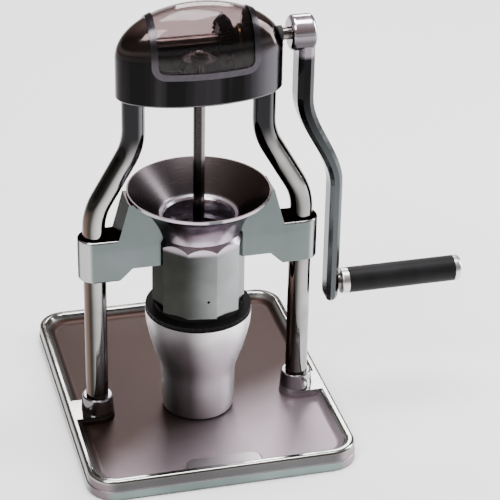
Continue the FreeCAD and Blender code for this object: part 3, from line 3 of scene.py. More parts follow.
import bmesh
import bpy
from mathutils import Matrix, Vector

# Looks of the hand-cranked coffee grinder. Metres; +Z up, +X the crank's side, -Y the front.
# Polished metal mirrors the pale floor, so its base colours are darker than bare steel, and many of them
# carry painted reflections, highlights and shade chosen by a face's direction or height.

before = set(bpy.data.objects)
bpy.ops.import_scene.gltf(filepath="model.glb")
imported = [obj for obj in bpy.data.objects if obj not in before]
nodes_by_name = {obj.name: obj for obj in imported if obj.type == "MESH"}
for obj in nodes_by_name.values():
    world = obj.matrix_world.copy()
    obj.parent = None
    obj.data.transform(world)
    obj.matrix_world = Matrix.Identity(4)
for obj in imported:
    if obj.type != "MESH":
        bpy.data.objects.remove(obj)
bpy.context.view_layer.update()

MM = 0.001

# ------------------------------------------------------------ camera at the photograph's angle

CAMERA_TARGET = Vector((45.23, 0.0, 122.43)) * MM
CAMERA_AZIMUTH = math.radians(-15.12)
CAMERA_ELEVATION = math.radians(29.05)
CAMERA_ROLL = math.radians(1.12)
CAMERA_DISTANCE = 1524.5 * MM
CAMERA_LENS = 147.25
SENSOR_WIDTH = 36.0
CLIP_START = 0.05
CLIP_END = 60.0

# ------------------------------------------------------------ places on the object

SHAFT_Y = -24.0 * MM
CRANK_SHAFT_Z = 305.5 * MM
GRIP_Z = 101.4 * MM
CASE_MIDDLE_Z = 280.0 * MM
TRAY_HALF_WIDTH = 100.0 * MM
TRAY_HALF_DEPTH = 122.0 * MM
TRAY_EDGE_BAND = 3.0 * MM
HOPPER_RADIUS = 54.5 * MM
HOPPER_SOFT = 1.0 * MM
THROAT_RADIUS = 30.0 * MM
THROAT_SOFT = 2.0 * MM
THROAT_TOP = 175.0 * MM
THROAT_TOP_SOFT = 3.0 * MM

# Where a finish, or a painted light or shade, changes: (starts, complete), from low to high
LEG_SHADED_UPPER_Z = (215.0 * MM, 240.0 * MM)
TRAY_LIP_Z = (11.8 * MM, 15.0 * MM)
TRAY_SOCKET_Z = (16.3 * MM, 16.8 * MM)
TRAY_STEP_Z = (7.0 * MM, 8.5 * MM)
TRAY_HIGHLIGHT_SPAN = (40.0 * MM, 130.0 * MM)
ARM_X = (34.5 * MM, 38.5 * MM)
ARM_Z = (126.0 * MM, 127.0 * MM)
BARREL_PAINTED_LIGHT_X = (-14.0 * MM, 26.0 * MM)
NECK_Z = (152.0 * MM, 156.0 * MM)
NECK_ROUGH_Z = (150.0 * MM, 157.0 * MM)
HOPPER_Z = (169.0 * MM, 173.5 * MM)
CASE_RIM_Z = (268.2 * MM, 269.0 * MM)
CASE_SHELL = (-1.0 * MM, 1.0 * MM)
CRANK_LOWER_Z = (175.0 * MM, 265.0 * MM)
CRANK_BOSS_Z = (288.0 * MM, 292.0 * MM)

# How far a face looks along an axis, from -1 to 1: (starts, complete)
TRAY_UPWARD = (0.15, 0.50)
ARM_FLAT = (0.88, 0.98)
ARM_EXACT = (0.993, 0.998)
ARM_EDGE_HIGHLIGHT_FACING = (0.15, 0.45)
ARM_TOP_SHADE_FACING = (0.15, 0.45)
BARREL_RIGHT_HIGHLIGHT_FACING = (0.42, 0.62)
HOPPER_UPWARD = (0.25, 0.50)
HOPPER_RIGHT = (-0.35, 0.55)
CASE_WALL = (0.05, 0.35)
CASE_DOME = (0.30, 0.70)
CASE_CROWN = (0.55, 0.95)
CASE_HIGHLIGHT_FACING = (0.20, 0.50)
CASE_RIGHT_END = (0.62, 0.85)
CRANK_FRONT = (0.45, 0.75)
CRANK_FLANK = (0.88, 0.98)
CRANK_BOSS_LIGHT_FACING = (-0.30, 0.60)

# Painted highlight bands that follow each face's direction: (degrees right of the front, starts, complete)
LEG_HIGHLIGHT_BAND = (27, 0.50, 1.00)
LEG_FLANK_REFLECTION_BAND = (-60, 0.93, 1.00)
LEG_UPPER_HIGHLIGHT_BAND = (40, 0.86, 1.00)
SOCKET_HIGHLIGHT_BAND = (35, 0.30, 1.00)
NECK_HIGHLIGHT_BAND = (5, 0.45, 0.90)
TURNED_HIGHLIGHT_BAND = (42, 0.78, 1.00)
CUP_HIGHLIGHT_BAND = (50, 0.20, 0.97)

# ------------------------------------------------------------ colours

# Leg tones are painted reflections and highlights chosen by each face's direction, and painted shade on
# the upper part near the case.
LEG_PAINTED_SHADE = (0.024, 0.023, 0.020)
LEG_PAINTED_HIGHLIGHT = (0.30, 0.305, 0.295)
LEG_FLANK_PAINTED_REFLECTION = (0.085, 0.055, 0.042)
LEG_UPPER_PAINTED_SHADE = (0.016, 0.016, 0.017)
LEG_UPPER_PAINTED_HIGHLIGHT = (0.085, 0.083, 0.085)

TRIM_DARK = (0.040, 0.038, 0.044)
TRIM_LIGHT = (0.075, 0.070, 0.080)

# Tray floor: dark painted reflection at the back and a paler painted highlight towards the front and
# right.
TRAY_FLOOR = (0.024, 0.0120, 0.0088)
TRAY_FLOOR_PAINTED_HIGHLIGHT = (0.36, 0.305, 0.342)
TRAY_SPECK = (0.036, 0.023, 0.020)
# Leg sockets: painted shade and a painted highlight, chosen by facing.
TRAY_SOCKET_PAINTED_SHADE = (0.15, 0.14, 0.15)
TRAY_SOCKET_PAINTED_HIGHLIGHT = (0.50, 0.48, 0.51)
TRAY_LIP = (0.27, 0.28, 0.27)
# Polished outer side: two painted reflection tones split at the step.
TRAY_SIDE_LOW_PAINTED_REFLECTION = (0.15, 0.20, 0.19)
TRAY_SIDE_HIGH_PAINTED_REFLECTION = (0.055, 0.06, 0.058)

# Barrel: painted shade on the left, painted light to the right, and a painted highlight on right-facing
# faces.
BARREL_PAINTED_SHADE = (0.020, 0.021, 0.019)
BARREL_PAINTED_LIGHT = (0.235, 0.255, 0.255)
BARREL_RIGHT_PAINTED_HIGHLIGHT = (0.36, 0.38, 0.385)
# Neck: painted shade and a painted highlight band, chosen by facing.
NECK_PAINTED_SHADE = (0.050, 0.045, 0.048)
NECK_PAINTED_HIGHLIGHT = (0.46, 0.41, 0.47)
ARM_SATIN_DARK = (0.088, 0.112, 0.108)
ARM_SATIN_LIGHT = (0.142, 0.166, 0.168)
# Arm ends, tops and rounded edges: painted shade and painted highlights chosen by facing.
ARM_END_PAINTED_SHADE = (0.030, 0.034, 0.031)
ARM_TOP_PAINTED_SHADE = (0.0040, 0.0020, 0.0016)
ARM_EDGE_PAINTED_HIGHLIGHT = (0.34, 0.35, 0.345)
# Hopper: painted shade on left-facing walls, painted light on right-facing walls, and painted light in the
# throat.
HOPPER_LEFT_FACING_SHADE = (0.058, 0.046, 0.044)
HOPPER_RIGHT_FACING_LIGHT = (0.094, 0.083, 0.090)
HOPPER_LINE = (0.14, 0.13, 0.13)
THROAT_PAINTED_LIGHT = (0.50, 0.46, 0.52)
HOUSING_EDGE_TINT = (0.45, 0.45, 0.45, 1)

# Case wall: painted dark reflection, painted highlight streaks and gleam, painted shade at the right end
# and a painted highlight on the rim.
CASE_WALL_PAINTED_DARK = (0.0065, 0.0065, 0.0065)
CASE_WALL_PAINTED_STREAK = (0.018, 0.017, 0.019)
CASE_WALL_PAINTED_HIGHLIGHT = (0.072, 0.070, 0.078)
CASE_WALL_RIGHT_PAINTED_SHADE = (0.020, 0.020, 0.018)
CASE_RIM_PAINTED_HIGHLIGHT = (0.16, 0.16, 0.165)
# Shoulder and dome: painted reflection, painted shade below and painted light on the up-facing crown.
CASE_SHOULDER_PAINTED_REFLECTION = (0.060, 0.048, 0.046)
CASE_DOME_LOW_PAINTED_SHADE = (0.035, 0.028, 0.027)
CASE_DOME_TOP_PAINTED_LIGHT = (0.26, 0.19, 0.18)
# Inside of the case: painted shade.
CASE_INSIDE_PAINTED_SHADE = (0.005, 0.005, 0.0055)

# Cup: painted shade and a painted highlight band, chosen by facing.
CUP_PAINTED_SHADE = (0.12, 0.112, 0.117)
CUP_PAINTED_HIGHLIGHT = (0.98, 0.965, 1.0)

# Crank arm tones are painted reflections by height and face direction; the boss has painted light on top
# and painted shade below.
CRANK_FACE_UPPER = (0.007, 0.0075, 0.008)
CRANK_FACE_LOWER = (0.060, 0.068, 0.070)
CRANK_FLANK_UPPER = (0.026, 0.032, 0.028)
CRANK_FLANK_LOWER = (0.026, 0.032, 0.031)
CRANK_EDGE_UPPER = (0.030, 0.031, 0.033)
CRANK_EDGE_LOWER = (0.060, 0.067, 0.067)
CRANK_BOSS_PAINTED_SHADE = (0.07, 0.063, 0.07)
CRANK_BOSS_PAINTED_LIGHT = (0.62, 0.57, 0.64)

PANE_TINT = (0.47, 0.40, 0.40, 1)
FLOOR_DARK = (0.92, 0.92, 0.92)
FLOOR_LIGHT = (0.96, 0.96, 0.96)

# ------------------------------------------------------------ roughness: (smoothest, roughest)

LEG_POLISH = (0.07, 0.16)
TRIM_POLISH = (0.16, 0.30)
TRAY_SATIN = (0.38, 0.52)
TRAY_POLISH = (0.08, 0.18)
HOUSING_POLISH = (0.08, 0.18)
ARM_SATIN = (0.24, 0.38)
NECK_EXTRA_ROUGHNESS = 0.10
HOPPER_SATIN = (0.24, 0.29)
CASE_POLISH = (0.08, 0.17)
CASE_BRUSHED = (0.14, 0.28)
CUP_SATIN = (0.34, 0.46)
CRANK_POLISH = (0.12, 0.24)
PANE_POLISH = (0.0, 0.04)
FLOOR_MATT = (0.6, 0.75)

# ------------------------------------------------------------ noise: (scale, detail)

NOISE_ROUGHNESS = 0.55
SMUDGE_BROAD = (28.0, 4.0)
SMUDGE_FINE = (392.0, 2.0)
CLOUD_SCALE = 18.0
CLOUD_DETAIL = 3.0
LINE_DETAIL = 3.0
LEG_RIPPLE = (55.0, 1.0)
TRIM_GRAIN = (500.0, 2.0)
TRIM_RIPPLE = (80.0, 2.0)
TURNED_CLOUD = (30.0, 3.0)
BRUSH_MARKS = (260.0, 4.0)
BRUSH_CLOUD = (24.0, 3.0)
TRAY_GRAIN = (1900.0, 2.0)
TRAY_CLOUD = (9.0, 4.0)
TRAY_RIPPLE = (60.0, 1.0)
BARREL_DRIFT = (16.0, 2.0)
ARM_CLOUD = (26.0, 4.0)
ARM_GRAIN = (420.0, 3.0)
HOUSING_GRAIN = (520.0, 2.0)
CASE_MARKS = (90.0, 4.0)
CASE_STREAKS = (70.0, 3.0)
CUP_CLOUD = (20.0, 4.0)
CUP_GRAIN = (1500.0, 2.0)
CRANK_RIPPLE = (60.0, 2.0)
BLACK_CLOUD = (40.0, 3.0)
PANE_SMEAR = (45.0, 4.0)
PANE_RIPPLE = (30.0, 1.0)
FLOOR_CLOUD = (3.0, 3.0)
FLOOR_GRAIN = (300.0, 2.0)

# How fine turned lines are (noise scale), and how much they wander as they go round
TURNED_LINES = 2600.0
GEAR_LINES = 1800.0
HOUSING_LINES = 2400.0
CUP_LINES = 3000.0
TURNED_WANDER = 0.6 * MM
HOUSING_WANDER = 0.8 * MM
CUP_WANDER = 0.5 * MM

# Stretched noise: marks run across the direction with a large number, and along one with a small number
ROUND_MARKS = (1, 1, 30)
LENGTHWISE_MARKS = (25, 1, 1)
LEVEL_MARKS = (1, 1, 45)
UPRIGHT_STREAKS = (1, 1, 0.02)

# ------------------------------------------------------------ bump: (strength, height)

LEG_BUMP = (0.6, 0.03 * MM)
TRIM_BUMP = (0.5, 0.04 * MM)
TURNED_BUMP = (0.5, 0.004 * MM)
BRUSH_BUMP = (0.5, 0.01 * MM)
TRAY_BUMP = (0.5, 0.05 * MM)
HOUSING_BUMP = (0.4, 0.02 * MM)
CASE_BUMP = (0.4, 0.01 * MM)
CUP_BUMP = (0.4, 0.015 * MM)
CRANK_BUMP = (0.5, 0.03 * MM)
BLACK_BUMP_STRENGTH = 0.5
PANE_BUMP = (0.3, 0.02 * MM)
FLOOR_BUMP = (0.1, 0.1 * MM)

# ------------------------------------------------------------ shares and shader values

CLOUD_SPREAD = 0.25
CLOUD_LIMITS = (0.32, 0.68)
SMUDGE_LIMITS = (0.38, 0.66)
SMUDGE_BROAD_SHARE = 0.75
SMUDGE_FINE_SHARE = 0.25
TURNED_STREAK_LIMITS = (0.2, 0.8)
TURNED_STREAK_SHARE = 0.15
BRUSH_LIMITS = (0.3, 0.7)
BRUSH_WORN_LIMITS = (0.35, 0.65)
BRUSH_WORN_LOW = 1.25
BRUSH_WORN_HIGH = 1.2
TRAY_HIGHLIGHT_RIGHT_SHARE = 0.5
TRAY_HIGHLIGHT_FRONT_SHARE = 0.9
TRAY_HIGHLIGHT_DRIFT = 0.05
TRAY_SPECK_LIMITS = (0.3, 0.7)
TRAY_SPECK_SHARE = (0.0, 0.35)
TRAY_GRAIN_SHARE = 0.4
TRAY_CLOUD_SHARE = 0.6
TRAY_RIPPLE_SHARE = 0.4
TRAY_FLOOR_METALLIC = 0.80
LIP_CLOUD_SCALE = 12.0
SIDE_CLOUD_SCALE = 10.0
BARREL_DRIFT_SHARE = 0.01
HOPPER_LINE_SHARE = (0.0, 0.07)
HOUSING_GRAIN_SHARE = 0.35
HOPPER_BUMP_SHARE = 0.06
CASE_STREAK_LIMITS = (0.42, 0.66)
CUP_CLOUD_SHARE = (-0.06, 0.06)
CUP_LINE_SHARE = 0.6
CUP_ROUGH_CLOUD_SHARE = 0.4
CUP_METALLIC = 0.95
BLACK_CLOUD_LIMITS = (0.35, 0.70)
BLACK_LIGHTER = 1.9
PANE_IOR = 1.30
PANE_SPECULAR_LEVEL = 0.30
PANE_SMEAR_LIMITS = (0.5, 0.8)

# ------------------------------------------------------------ finishes shared by several pieces

# Turned metal: name, dark, light of its painted highlight band, (smoothest, roughest), other settings,
# pieces
ROUND_CRANK_SHAFT = {"axis": "X", "axis_height": CRANK_SHAFT_Z}
ROUND_GRIP = {"axis": "X", "axis_height": GRIP_Z}
COARSER_LINES = {"lines": GEAR_LINES}
TURNED_METALS = (
    ("shaft_ground_x", (0.14, 0.125, 0.12), (0.34, 0.31, 0.31), (0.14, 0.26), ROUND_CRANK_SHAFT,
     ("crank_shaft", "grip_spindle")),
    ("shaft_ground_z", (0.010, 0.009, 0.009), (0.24, 0.21, 0.21), (0.12, 0.24), {},
     ("drive_shaft",)),
    ("grip_turned", (0.62, 0.62, 0.64), (0.86, 0.86, 0.89), (0.22, 0.36), ROUND_GRIP,
     ("grip_ferrule", "grip_end_cap")),
    ("gear_oiled_steel", (0.0008, 0.0007, 0.0008), (0.0035, 0.0030, 0.0032), (0.24, 0.42), COARSER_LINES,
     ("crown_gear", "pinion_gear")),
    ("hub_copper_tone", (0.020, 0.0055, 0.0045), (0.060, 0.018, 0.014), (0.28, 0.42), {},
     ("crown_nut",)),
    # The spider and burr carrier sit in the shaded throat; their pale tones are painted light.
    ("spider_satin_painted_light", (0.28, 0.26, 0.30), (0.42, 0.40, 0.45), (0.18, 0.32), {},
     ("shaft_spider", "burr_carrier")),
    ("bush_bronze", (0.14, 0.085, 0.04), (0.24, 0.16, 0.08), (0.25, 0.4), {},
     ("upper_bush", "spider_bush", "crank_bushes")),
    ("screw_steel", (0.07, 0.07, 0.073), (0.22, 0.22, 0.225), (0.18, 0.34), {},
     ("leg_base_screws", "leg_plugs", "clamp_set_screws", "carrier_key_pin",
      "collar_snap_ring", "case_screws", "leg_top_screws", "pedestal_screws",
      "shaft_circlip", "crown_pin", "cone_burr_screw", "ring_burr_screws",
      "pinion_pin", "crank_screw")),
)

# Brushed metal: name, dark, light, (smoothest, roughest), stretch, pieces
BRUSHED_METALS = (
    ("burr_steel", (0.10, 0.10, 0.105), (0.17, 0.17, 0.175), (0.2, 0.36), ROUND_MARKS,
     ("cone_burr", "ring_burr")),
    ("plate_blackened", (0.0018, 0.0018, 0.0018), (0.0045, 0.0045, 0.0048), (0.26, 0.42), LENGTHWISE_MARKS,
     ("case_base_plate", "bearing_pedestal")),
)

# Black finish: name, colour, (smoothest, roughest), grain scale, grain height, gloss, pieces
BLACK_FINISHES = (
    ("collar_anodised", (0.002, 0.002, 0.002), (0.45, 0.6), 1400.0, 0.02 * MM, 0.08,
     ("adjuster_collar",)),
    ("pad_rubber", (0.012, 0.012, 0.012), (0.6, 0.85), 700.0, 0.12 * MM, 0.3,
     ("base_pad", "shaft_seal")),
    ("grip_matt_black", (0.004, 0.004, 0.0045), (0.42, 0.58), 1100.0, 0.04 * MM, 0.14,
     ("grip_sleeve",)),
)

# ------------------------------------------------------------ studio

FLOOR_HALF_SIZE = 14.0
FLOOR_SEGMENTS = 8
OBJECT_MIDDLE = (0.0, 0.0, 0.18)
BACK_LIGHT_AIM = (0.0, -0.08, 0.0)
LIGHTS = (
    # name, place, aim, width, height, watts, colour
    ("key_softbox", (-1.2, -1.1, 2.0), OBJECT_MIDDLE, 0.9, 0.9, 42, (1.0, 0.98, 0.96)),
    ("right_strip", (1.35, 0.05, 0.65), OBJECT_MIDDLE, 0.5, 1.1, 24, (0.97, 0.98, 1.0)),
    ("back_softbox", (0.33, 1.15, 0.95), BACK_LIGHT_AIM, 0.55, 0.35, 9, (1.0, 0.96, 0.98)),
    ("top_softbox", (0.1, 0.1, 2.4), OBJECT_MIDDLE, 1.5, 1.1, 95, (1.0, 0.965, 0.985)),
)
ROOM_STRENGTH = 0.9
ROOM_HORIZON = (0.08, (0.90, 0.90, 0.90, 1))
ROOM_OVERHEAD = (1.0, (0.66, 0.62, 0.63, 1))
ROOM_BETWEEN = (
    (0.20, (0.24, 0.20, 0.19, 1)),
    (0.60, (0.34, 0.27, 0.25, 1)),
)


class Builder:
    """Short names for one material's nodes."""

    def __init__(self, name):
        self.material = bpy.data.materials.new(name)
        self.material.use_nodes = True
        self.tree = self.material.node_tree
        self.shader = self.tree.nodes["Principled BSDF"]
        self.coords = self.tree.nodes.new("ShaderNodeTexCoord")

    def node(self, kind, **values):
        """A new node with some of its settings."""
        made = self.tree.nodes.new(kind)
        for key, value in values.items():
            setattr(made, key, value)
        return made

    def link(self, source, target):
        """Joins an output to a socket."""
        self.tree.links.new(source, target)

    def feed(self, socket, value):
        """Gives a socket a number, a colour or another node's output."""
        if isinstance(value, bpy.types.NodeSocket):
            self.link(value, socket)
        else:
            socket.default_value = value

    def feed_colour(self, socket, colour):
        """Gives a socket a colour of three parts or another node's output."""
        is_output = isinstance(colour, bpy.types.NodeSocket)
        self.feed(socket, colour if is_output else (*colour, 1))

    def math(self, operation, first, second=0.0):
        """One sum with one or two values."""
        made = self.node("ShaderNodeMath", operation=operation)
        self.feed(made.inputs[0], first)
        self.feed(made.inputs[1], second)
        return made.outputs[0]

    def weighed(self, first, first_share, second, second_share):
        """The sum of two values, each times its share."""
        return self.math("ADD", self.math("MULTIPLY", first, first_share),
                         self.math("MULTIPLY", second, second_share))

    def average(self, first, second):
        """Halfway between two values."""
        return self.weighed(first, 0.5, second, 0.5)

    def inverse(self, value):
        """0 where the value is 1, and 1 where it is 0."""
        return self.math("SUBTRACT", 1.0, value)

    def step(self, value, low, high):
        """0 below low, 1 above high and smooth between."""
        made = self.node("ShaderNodeMapRange", interpolation_type="SMOOTHSTEP")
        self.feed(made.inputs["Value"], value)
        made.inputs["From Min"].default_value = low
        made.inputs["From Max"].default_value = high
        return made.outputs["Result"]

    def within(self, value, limit, soft):
        """1 well under the limit, 0 past it and smooth over the last soft part."""
        return self.step(self.math("SUBTRACT", limit, value), 0.0, soft)

    def scaled(self, value, low, high):
        """Spreads a 0 to 1 value over low to high."""
        made = self.node("ShaderNodeMapRange")
        self.feed(made.inputs["Value"], value)
        made.inputs["To Min"].default_value = low
        made.inputs["To Max"].default_value = high
        return made.outputs["Result"]

    def mix(self, share, first, second):
        """Mixes two numbers."""
        made = self.node("ShaderNodeMix", data_type="FLOAT")
        self.feed(made.inputs["Factor"], share)
        self.feed(made.inputs["A"], first)
        self.feed(made.inputs["B"], second)
        return made.outputs["Result"]

    def mix_colour(self, share, first, second):
        """Mixes two colours; inputs 6 and 7 and output 2 are the node's colour sockets."""
        made = self.node("ShaderNodeMix", data_type="RGBA")
        self.feed(made.inputs["Factor"], share)
        self.feed_colour(made.inputs[6], first)
        self.feed_colour(made.inputs[7], second)
        return made.outputs[2]

    def parts(self, vector_name):
        """The three parts of one of the object's coordinates."""
        made = self.node("ShaderNodeSeparateXYZ")
        self.link(self.coords.outputs[vector_name], made.inputs[0])
        return made.outputs

    def place(self):
        """X, Y and Z on the object."""
        return self.parts("Object")

    def facing(self):
        """X, Y and Z of the surface's direction."""
        return self.parts("Normal")

    def noise(self, scale, detail, stretch=(1, 1, 1), vector=None):
        """Soft noise from 0 to 1."""
        mapping = self.node("ShaderNodeMapping")
        mapping.inputs["Scale"].default_value = stretch
        self.link(vector or self.coords.outputs["Object"], mapping.inputs["Vector"])
        made = self.node("ShaderNodeTexNoise")
        made.inputs["Scale"].default_value = scale
        made.inputs["Detail"].default_value = detail
        made.inputs["Roughness"].default_value = NOISE_ROUGHNESS
        self.link(mapping.outputs[0], made.inputs["Vector"])
        return made.outputs["Fac"]

    def distance(self, first, second):
        """How far a point lies from an axis, from its two parts across that axis."""
        return self.math("SQRT", self.weighed(first, first, second, second))

    def from_shaft(self):
        """Level distance from the vertical shaft's axis."""
        x, y, _ = self.place()
        return self.distance(x, self.math("SUBTRACT", y, SHAFT_Y))

    def turned_lines(self, lines, wander, axis="Z", axis_height=0.0):
        """Fine lines that run round the vertical shaft, or round a level axis along X."""
        x, y, z = self.place()
        across = self.math("SUBTRACT", y, SHAFT_Y)
        if axis == "Z":
            first, second, along = x, across, z
        else:
            first, second, along = across, self.math("SUBTRACT", z, axis_height), x
        angle = self.math("ARCTAN2", first, second)
        joined = self.node("ShaderNodeCombineXYZ")
        self.link(self.distance(first, second), joined.inputs[0])
        self.link(along, joined.inputs[1])
        self.link(self.math("MULTIPLY", angle, wander), joined.inputs[2])
        return self.noise(lines, LINE_DETAIL, vector=joined.outputs[0])

    def past_tray_floor(self, x, y):
        """How far a point lies past the inner edge of the tray's outermost band."""
        past_x = self.math("SUBTRACT", self.math("ABSOLUTE", x), TRAY_HALF_WIDTH - TRAY_EDGE_BAND)
        past_y = self.math("SUBTRACT", self.math("ABSOLUTE", y), TRAY_HALF_DEPTH - TRAY_EDGE_BAND)
        return self.math("MAXIMUM", past_x, past_y)

    def bump(self, height, strength, distance):
        """Raises the surface a little where height is high."""
        made = self.node("ShaderNodeBump")
        made.inputs["Strength"].default_value = strength
        made.inputs["Distance"].default_value = distance
        self.link(height, made.inputs["Height"])
        self.link(made.outputs[0], self.shader.inputs["Normal"])

    def metal(self, colour, roughness, metallic=1.0):
        """Sets the shader up as metal."""
        self.feed(self.shader.inputs["Metallic"], metallic)
        self.feed_colour(self.shader.inputs["Base Color"], colour)
        self.feed(self.shader.inputs["Roughness"], roughness)


# ------------------------------------------------------------ surface patterns

def smudged(made, low, high):
    """Roughness with soft handling marks and a little fine haze."""
    blend = made.weighed(made.noise(*SMUDGE_BROAD), SMUDGE_BROAD_SHARE,
                         made.noise(*SMUDGE_FINE), SMUDGE_FINE_SHARE)
    return made.scaled(made.step(blend, *SMUDGE_LIMITS), low, high)


def painted_highlight_band(made, turn, low, high):
    """Share of a painted highlight: 1 on faces that look along the way turn degrees right of the front,
    and 0 across it.
    """
    nx, ny, _ = made.facing()
    angle = math.radians(turn)
    along = made.weighed(nx, math.sin(angle), ny, -math.cos(angle))
    return made.step(made.math("ABSOLUTE", along), low, high)


def clouded(made, colour, scale=CLOUD_SCALE):
    """A tone that wanders a little lighter and darker."""
    darker = tuple(part * (1 - CLOUD_SPREAD) for part in colour)
    lighter = tuple(part * (1 + CLOUD_SPREAD) for part in colour)
    share = made.step(made.noise(scale, CLOUD_DETAIL), *CLOUD_LIMITS)
    return made.mix_colour(share, darker, lighter)


# ------------------------------------------------------------ materials

def leg_chrome():
    """Mirror-polished tube: painted dark reflection with one painted highlight band and a brownish painted
    reflection on one flank, and darker painted shade near the case.
    """
    made = Builder("leg_chrome_polish")
    lower = made.mix_colour(painted_highlight_band(made, *LEG_HIGHLIGHT_BAND), clouded(made, LEG_PAINTED_SHADE), clouded(made, LEG_PAINTED_HIGHLIGHT))
    lower = made.mix_colour(painted_highlight_band(made, *LEG_FLANK_REFLECTION_BAND), lower, LEG_FLANK_PAINTED_REFLECTION)
    upper = made.mix_colour(painted_highlight_band(made, *LEG_UPPER_HIGHLIGHT_BAND), LEG_UPPER_PAINTED_SHADE, LEG_UPPER_PAINTED_HIGHLIGHT)
    near_case = made.step(made.place()["Z"], *LEG_SHADED_UPPER_Z)
    made.metal(made.mix_colour(near_case, lower, upper), smudged(made, *LEG_POLISH))
    made.bump(made.noise(*LEG_RIPPLE), *LEG_BUMP)
    return made.material


def window_trim():
    """Grey satin frame with a fine grain."""
    made = Builder("window_trim_grey")
    grain = made.noise(*TRIM_GRAIN)
    made.metal(made.mix_colour(grain, TRIM_DARK, TRIM_LIGHT), made.scaled(grain, *TRIM_POLISH))
    made.bump(made.noise(*TRIM_RIPPLE), *TRIM_BUMP)
    return made.material


def turned_metal(name, dark, light, polish, axis="Z", axis_height=0.0, lines=TURNED_LINES):
    """Lathe-turned metal: fine lines round an axis, and a lighter painted highlight band that follows the
    facing.
    """
    made = Builder(name)
    marks = made.turned_lines(lines, TURNED_WANDER, axis, axis_height)
    base = made.mix_colour(painted_highlight_band(made, *TURNED_HIGHLIGHT_BAND), dark, light)
    streak = made.math("MULTIPLY", made.step(marks, *TURNED_STREAK_LIMITS), TURNED_STREAK_SHARE)
    rough = made.average(marks, made.noise(*TURNED_CLOUD))
    made.metal(made.mix_colour(streak, base, light), made.scaled(rough, *polish))
    made.bump(marks, *TURNED_BUMP)
    return made.material


def brushed_metal(name, dark, light, polish, stretch):
    """Metal with straight brush marks, rougher in worn patches."""
    made = Builder(name)
    low, high = polish
    marks = made.noise(*BRUSH_MARKS, stretch)
    worn = made.step(made.noise(*BRUSH_CLOUD), *BRUSH_WORN_LIMITS)
    rough = made.mix(worn, made.scaled(marks, low, high),
                     made.scaled(marks, low * BRUSH_WORN_LOW, high * BRUSH_WORN_HIGH))
    made.metal(made.mix_colour(made.step(marks, *BRUSH_LIMITS), dark, light), rough)
    made.bump(marks, *BRUSH_BUMP)
    return made.material


def tray_floor_tone(made, x, y, grain, cloud):
    """Dark brownish painted reflection at the back, a paler painted highlight towards the front and right,
    and finely specked.
    """
    towards_front = made.weighed(x, TRAY_HIGHLIGHT_RIGHT_SHARE, y, -TRAY_HIGHLIGHT_FRONT_SHARE)
    drift = made.math("MULTIPLY", cloud, TRAY_HIGHLIGHT_DRIFT)
    painted_highlight = made.step(made.math("ADD", towards_front, drift), *TRAY_HIGHLIGHT_SPAN)
    tone = made.mix_colour(painted_highlight, TRAY_FLOOR, TRAY_FLOOR_PAINTED_HIGHLIGHT)
    specks = made.scaled(made.step(grain, *TRAY_SPECK_LIMITS), *TRAY_SPECK_SHARE)
    return made.mix_colour(specks, tone, TRAY_SPECK)


def tray_lip_tone(made, z):
    """Bright lip, and leg sockets above it with painted shade and a painted highlight band that follows
    the facing.
    """
    socket = made.mix_colour(painted_highlight_band(made, *SOCKET_HIGHLIGHT_BAND), TRAY_SOCKET_PAINTED_SHADE, TRAY_SOCKET_PAINTED_HIGHLIGHT)
    return made.mix_colour(made.step(z, *TRAY_SOCKET_Z), clouded(made, TRAY_LIP, LIP_CLOUD_SCALE), socket)


def tray_side_tone(made, z):
    """Outer side: grey-green painted reflection below the step and a darker painted reflection above it.
    """
    return made.mix_colour(made.step(z, *TRAY_STEP_Z), clouded(made, TRAY_SIDE_LOW_PAINTED_REFLECTION, SIDE_CLOUD_SCALE),
                           clouded(made, TRAY_SIDE_HIGH_PAINTED_REFLECTION, SIDE_CLOUD_SCALE))


def tray_metal():
    """Satin floor inside a polished lip, sockets and outer side."""
    made = Builder("tray_satin_and_polished")
    x, y, z = made.place()
    grain = made.noise(*TRAY_GRAIN)
    cloud = made.noise(*TRAY_CLOUD)
    lip = made.step(z, *TRAY_LIP_Z)
    upright = made.inverse(made.step(made.facing()["Z"], *TRAY_UPWARD))
    outside = made.math("MULTIPLY", upright, made.step(made.past_tray_floor(x, y), 0.0, TRAY_EDGE_BAND))
    tone = made.mix_colour(lip, tray_floor_tone(made, x, y, grain, cloud), tray_lip_tone(made, z))
    tone = made.mix_colour(outside, tone, tray_side_tone(made, z))
    polished = made.math("MAXIMUM", lip, outside)
    satin = made.scaled(made.weighed(grain, TRAY_GRAIN_SHARE, cloud, TRAY_CLOUD_SHARE), *TRAY_SATIN)
    made.metal(tone, made.mix(polished, satin, smudged(made, *TRAY_POLISH)),
               made.mix(polished, TRAY_FLOOR_METALLIC, 1.0))
    ripple = made.math("MULTIPLY", made.noise(*TRAY_RIPPLE), TRAY_RIPPLE_SHARE)
    made.bump(made.mix(polished, grain, ripple), *TRAY_BUMP)
    return made.material


def barrel_tone(made, x, nx):
    """Painted shade on the left, painted light across to the right, with a painted highlight on right-hand
    faces.
    """
    drift = made.math("MULTIPLY", made.noise(*BARREL_DRIFT), BARREL_DRIFT_SHARE)
    across = made.step(made.math("ADD", x, drift), *BARREL_PAINTED_LIGHT_X)
    tone = made.mix_colour(across, clouded(made, BARREL_PAINTED_SHADE), clouded(made, BARREL_PAINTED_LIGHT))
    return made.mix_colour(made.step(nx, *BARREL_RIGHT_HIGHLIGHT_FACING), tone, BARREL_RIGHT_PAINTED_HIGHLIGHT)


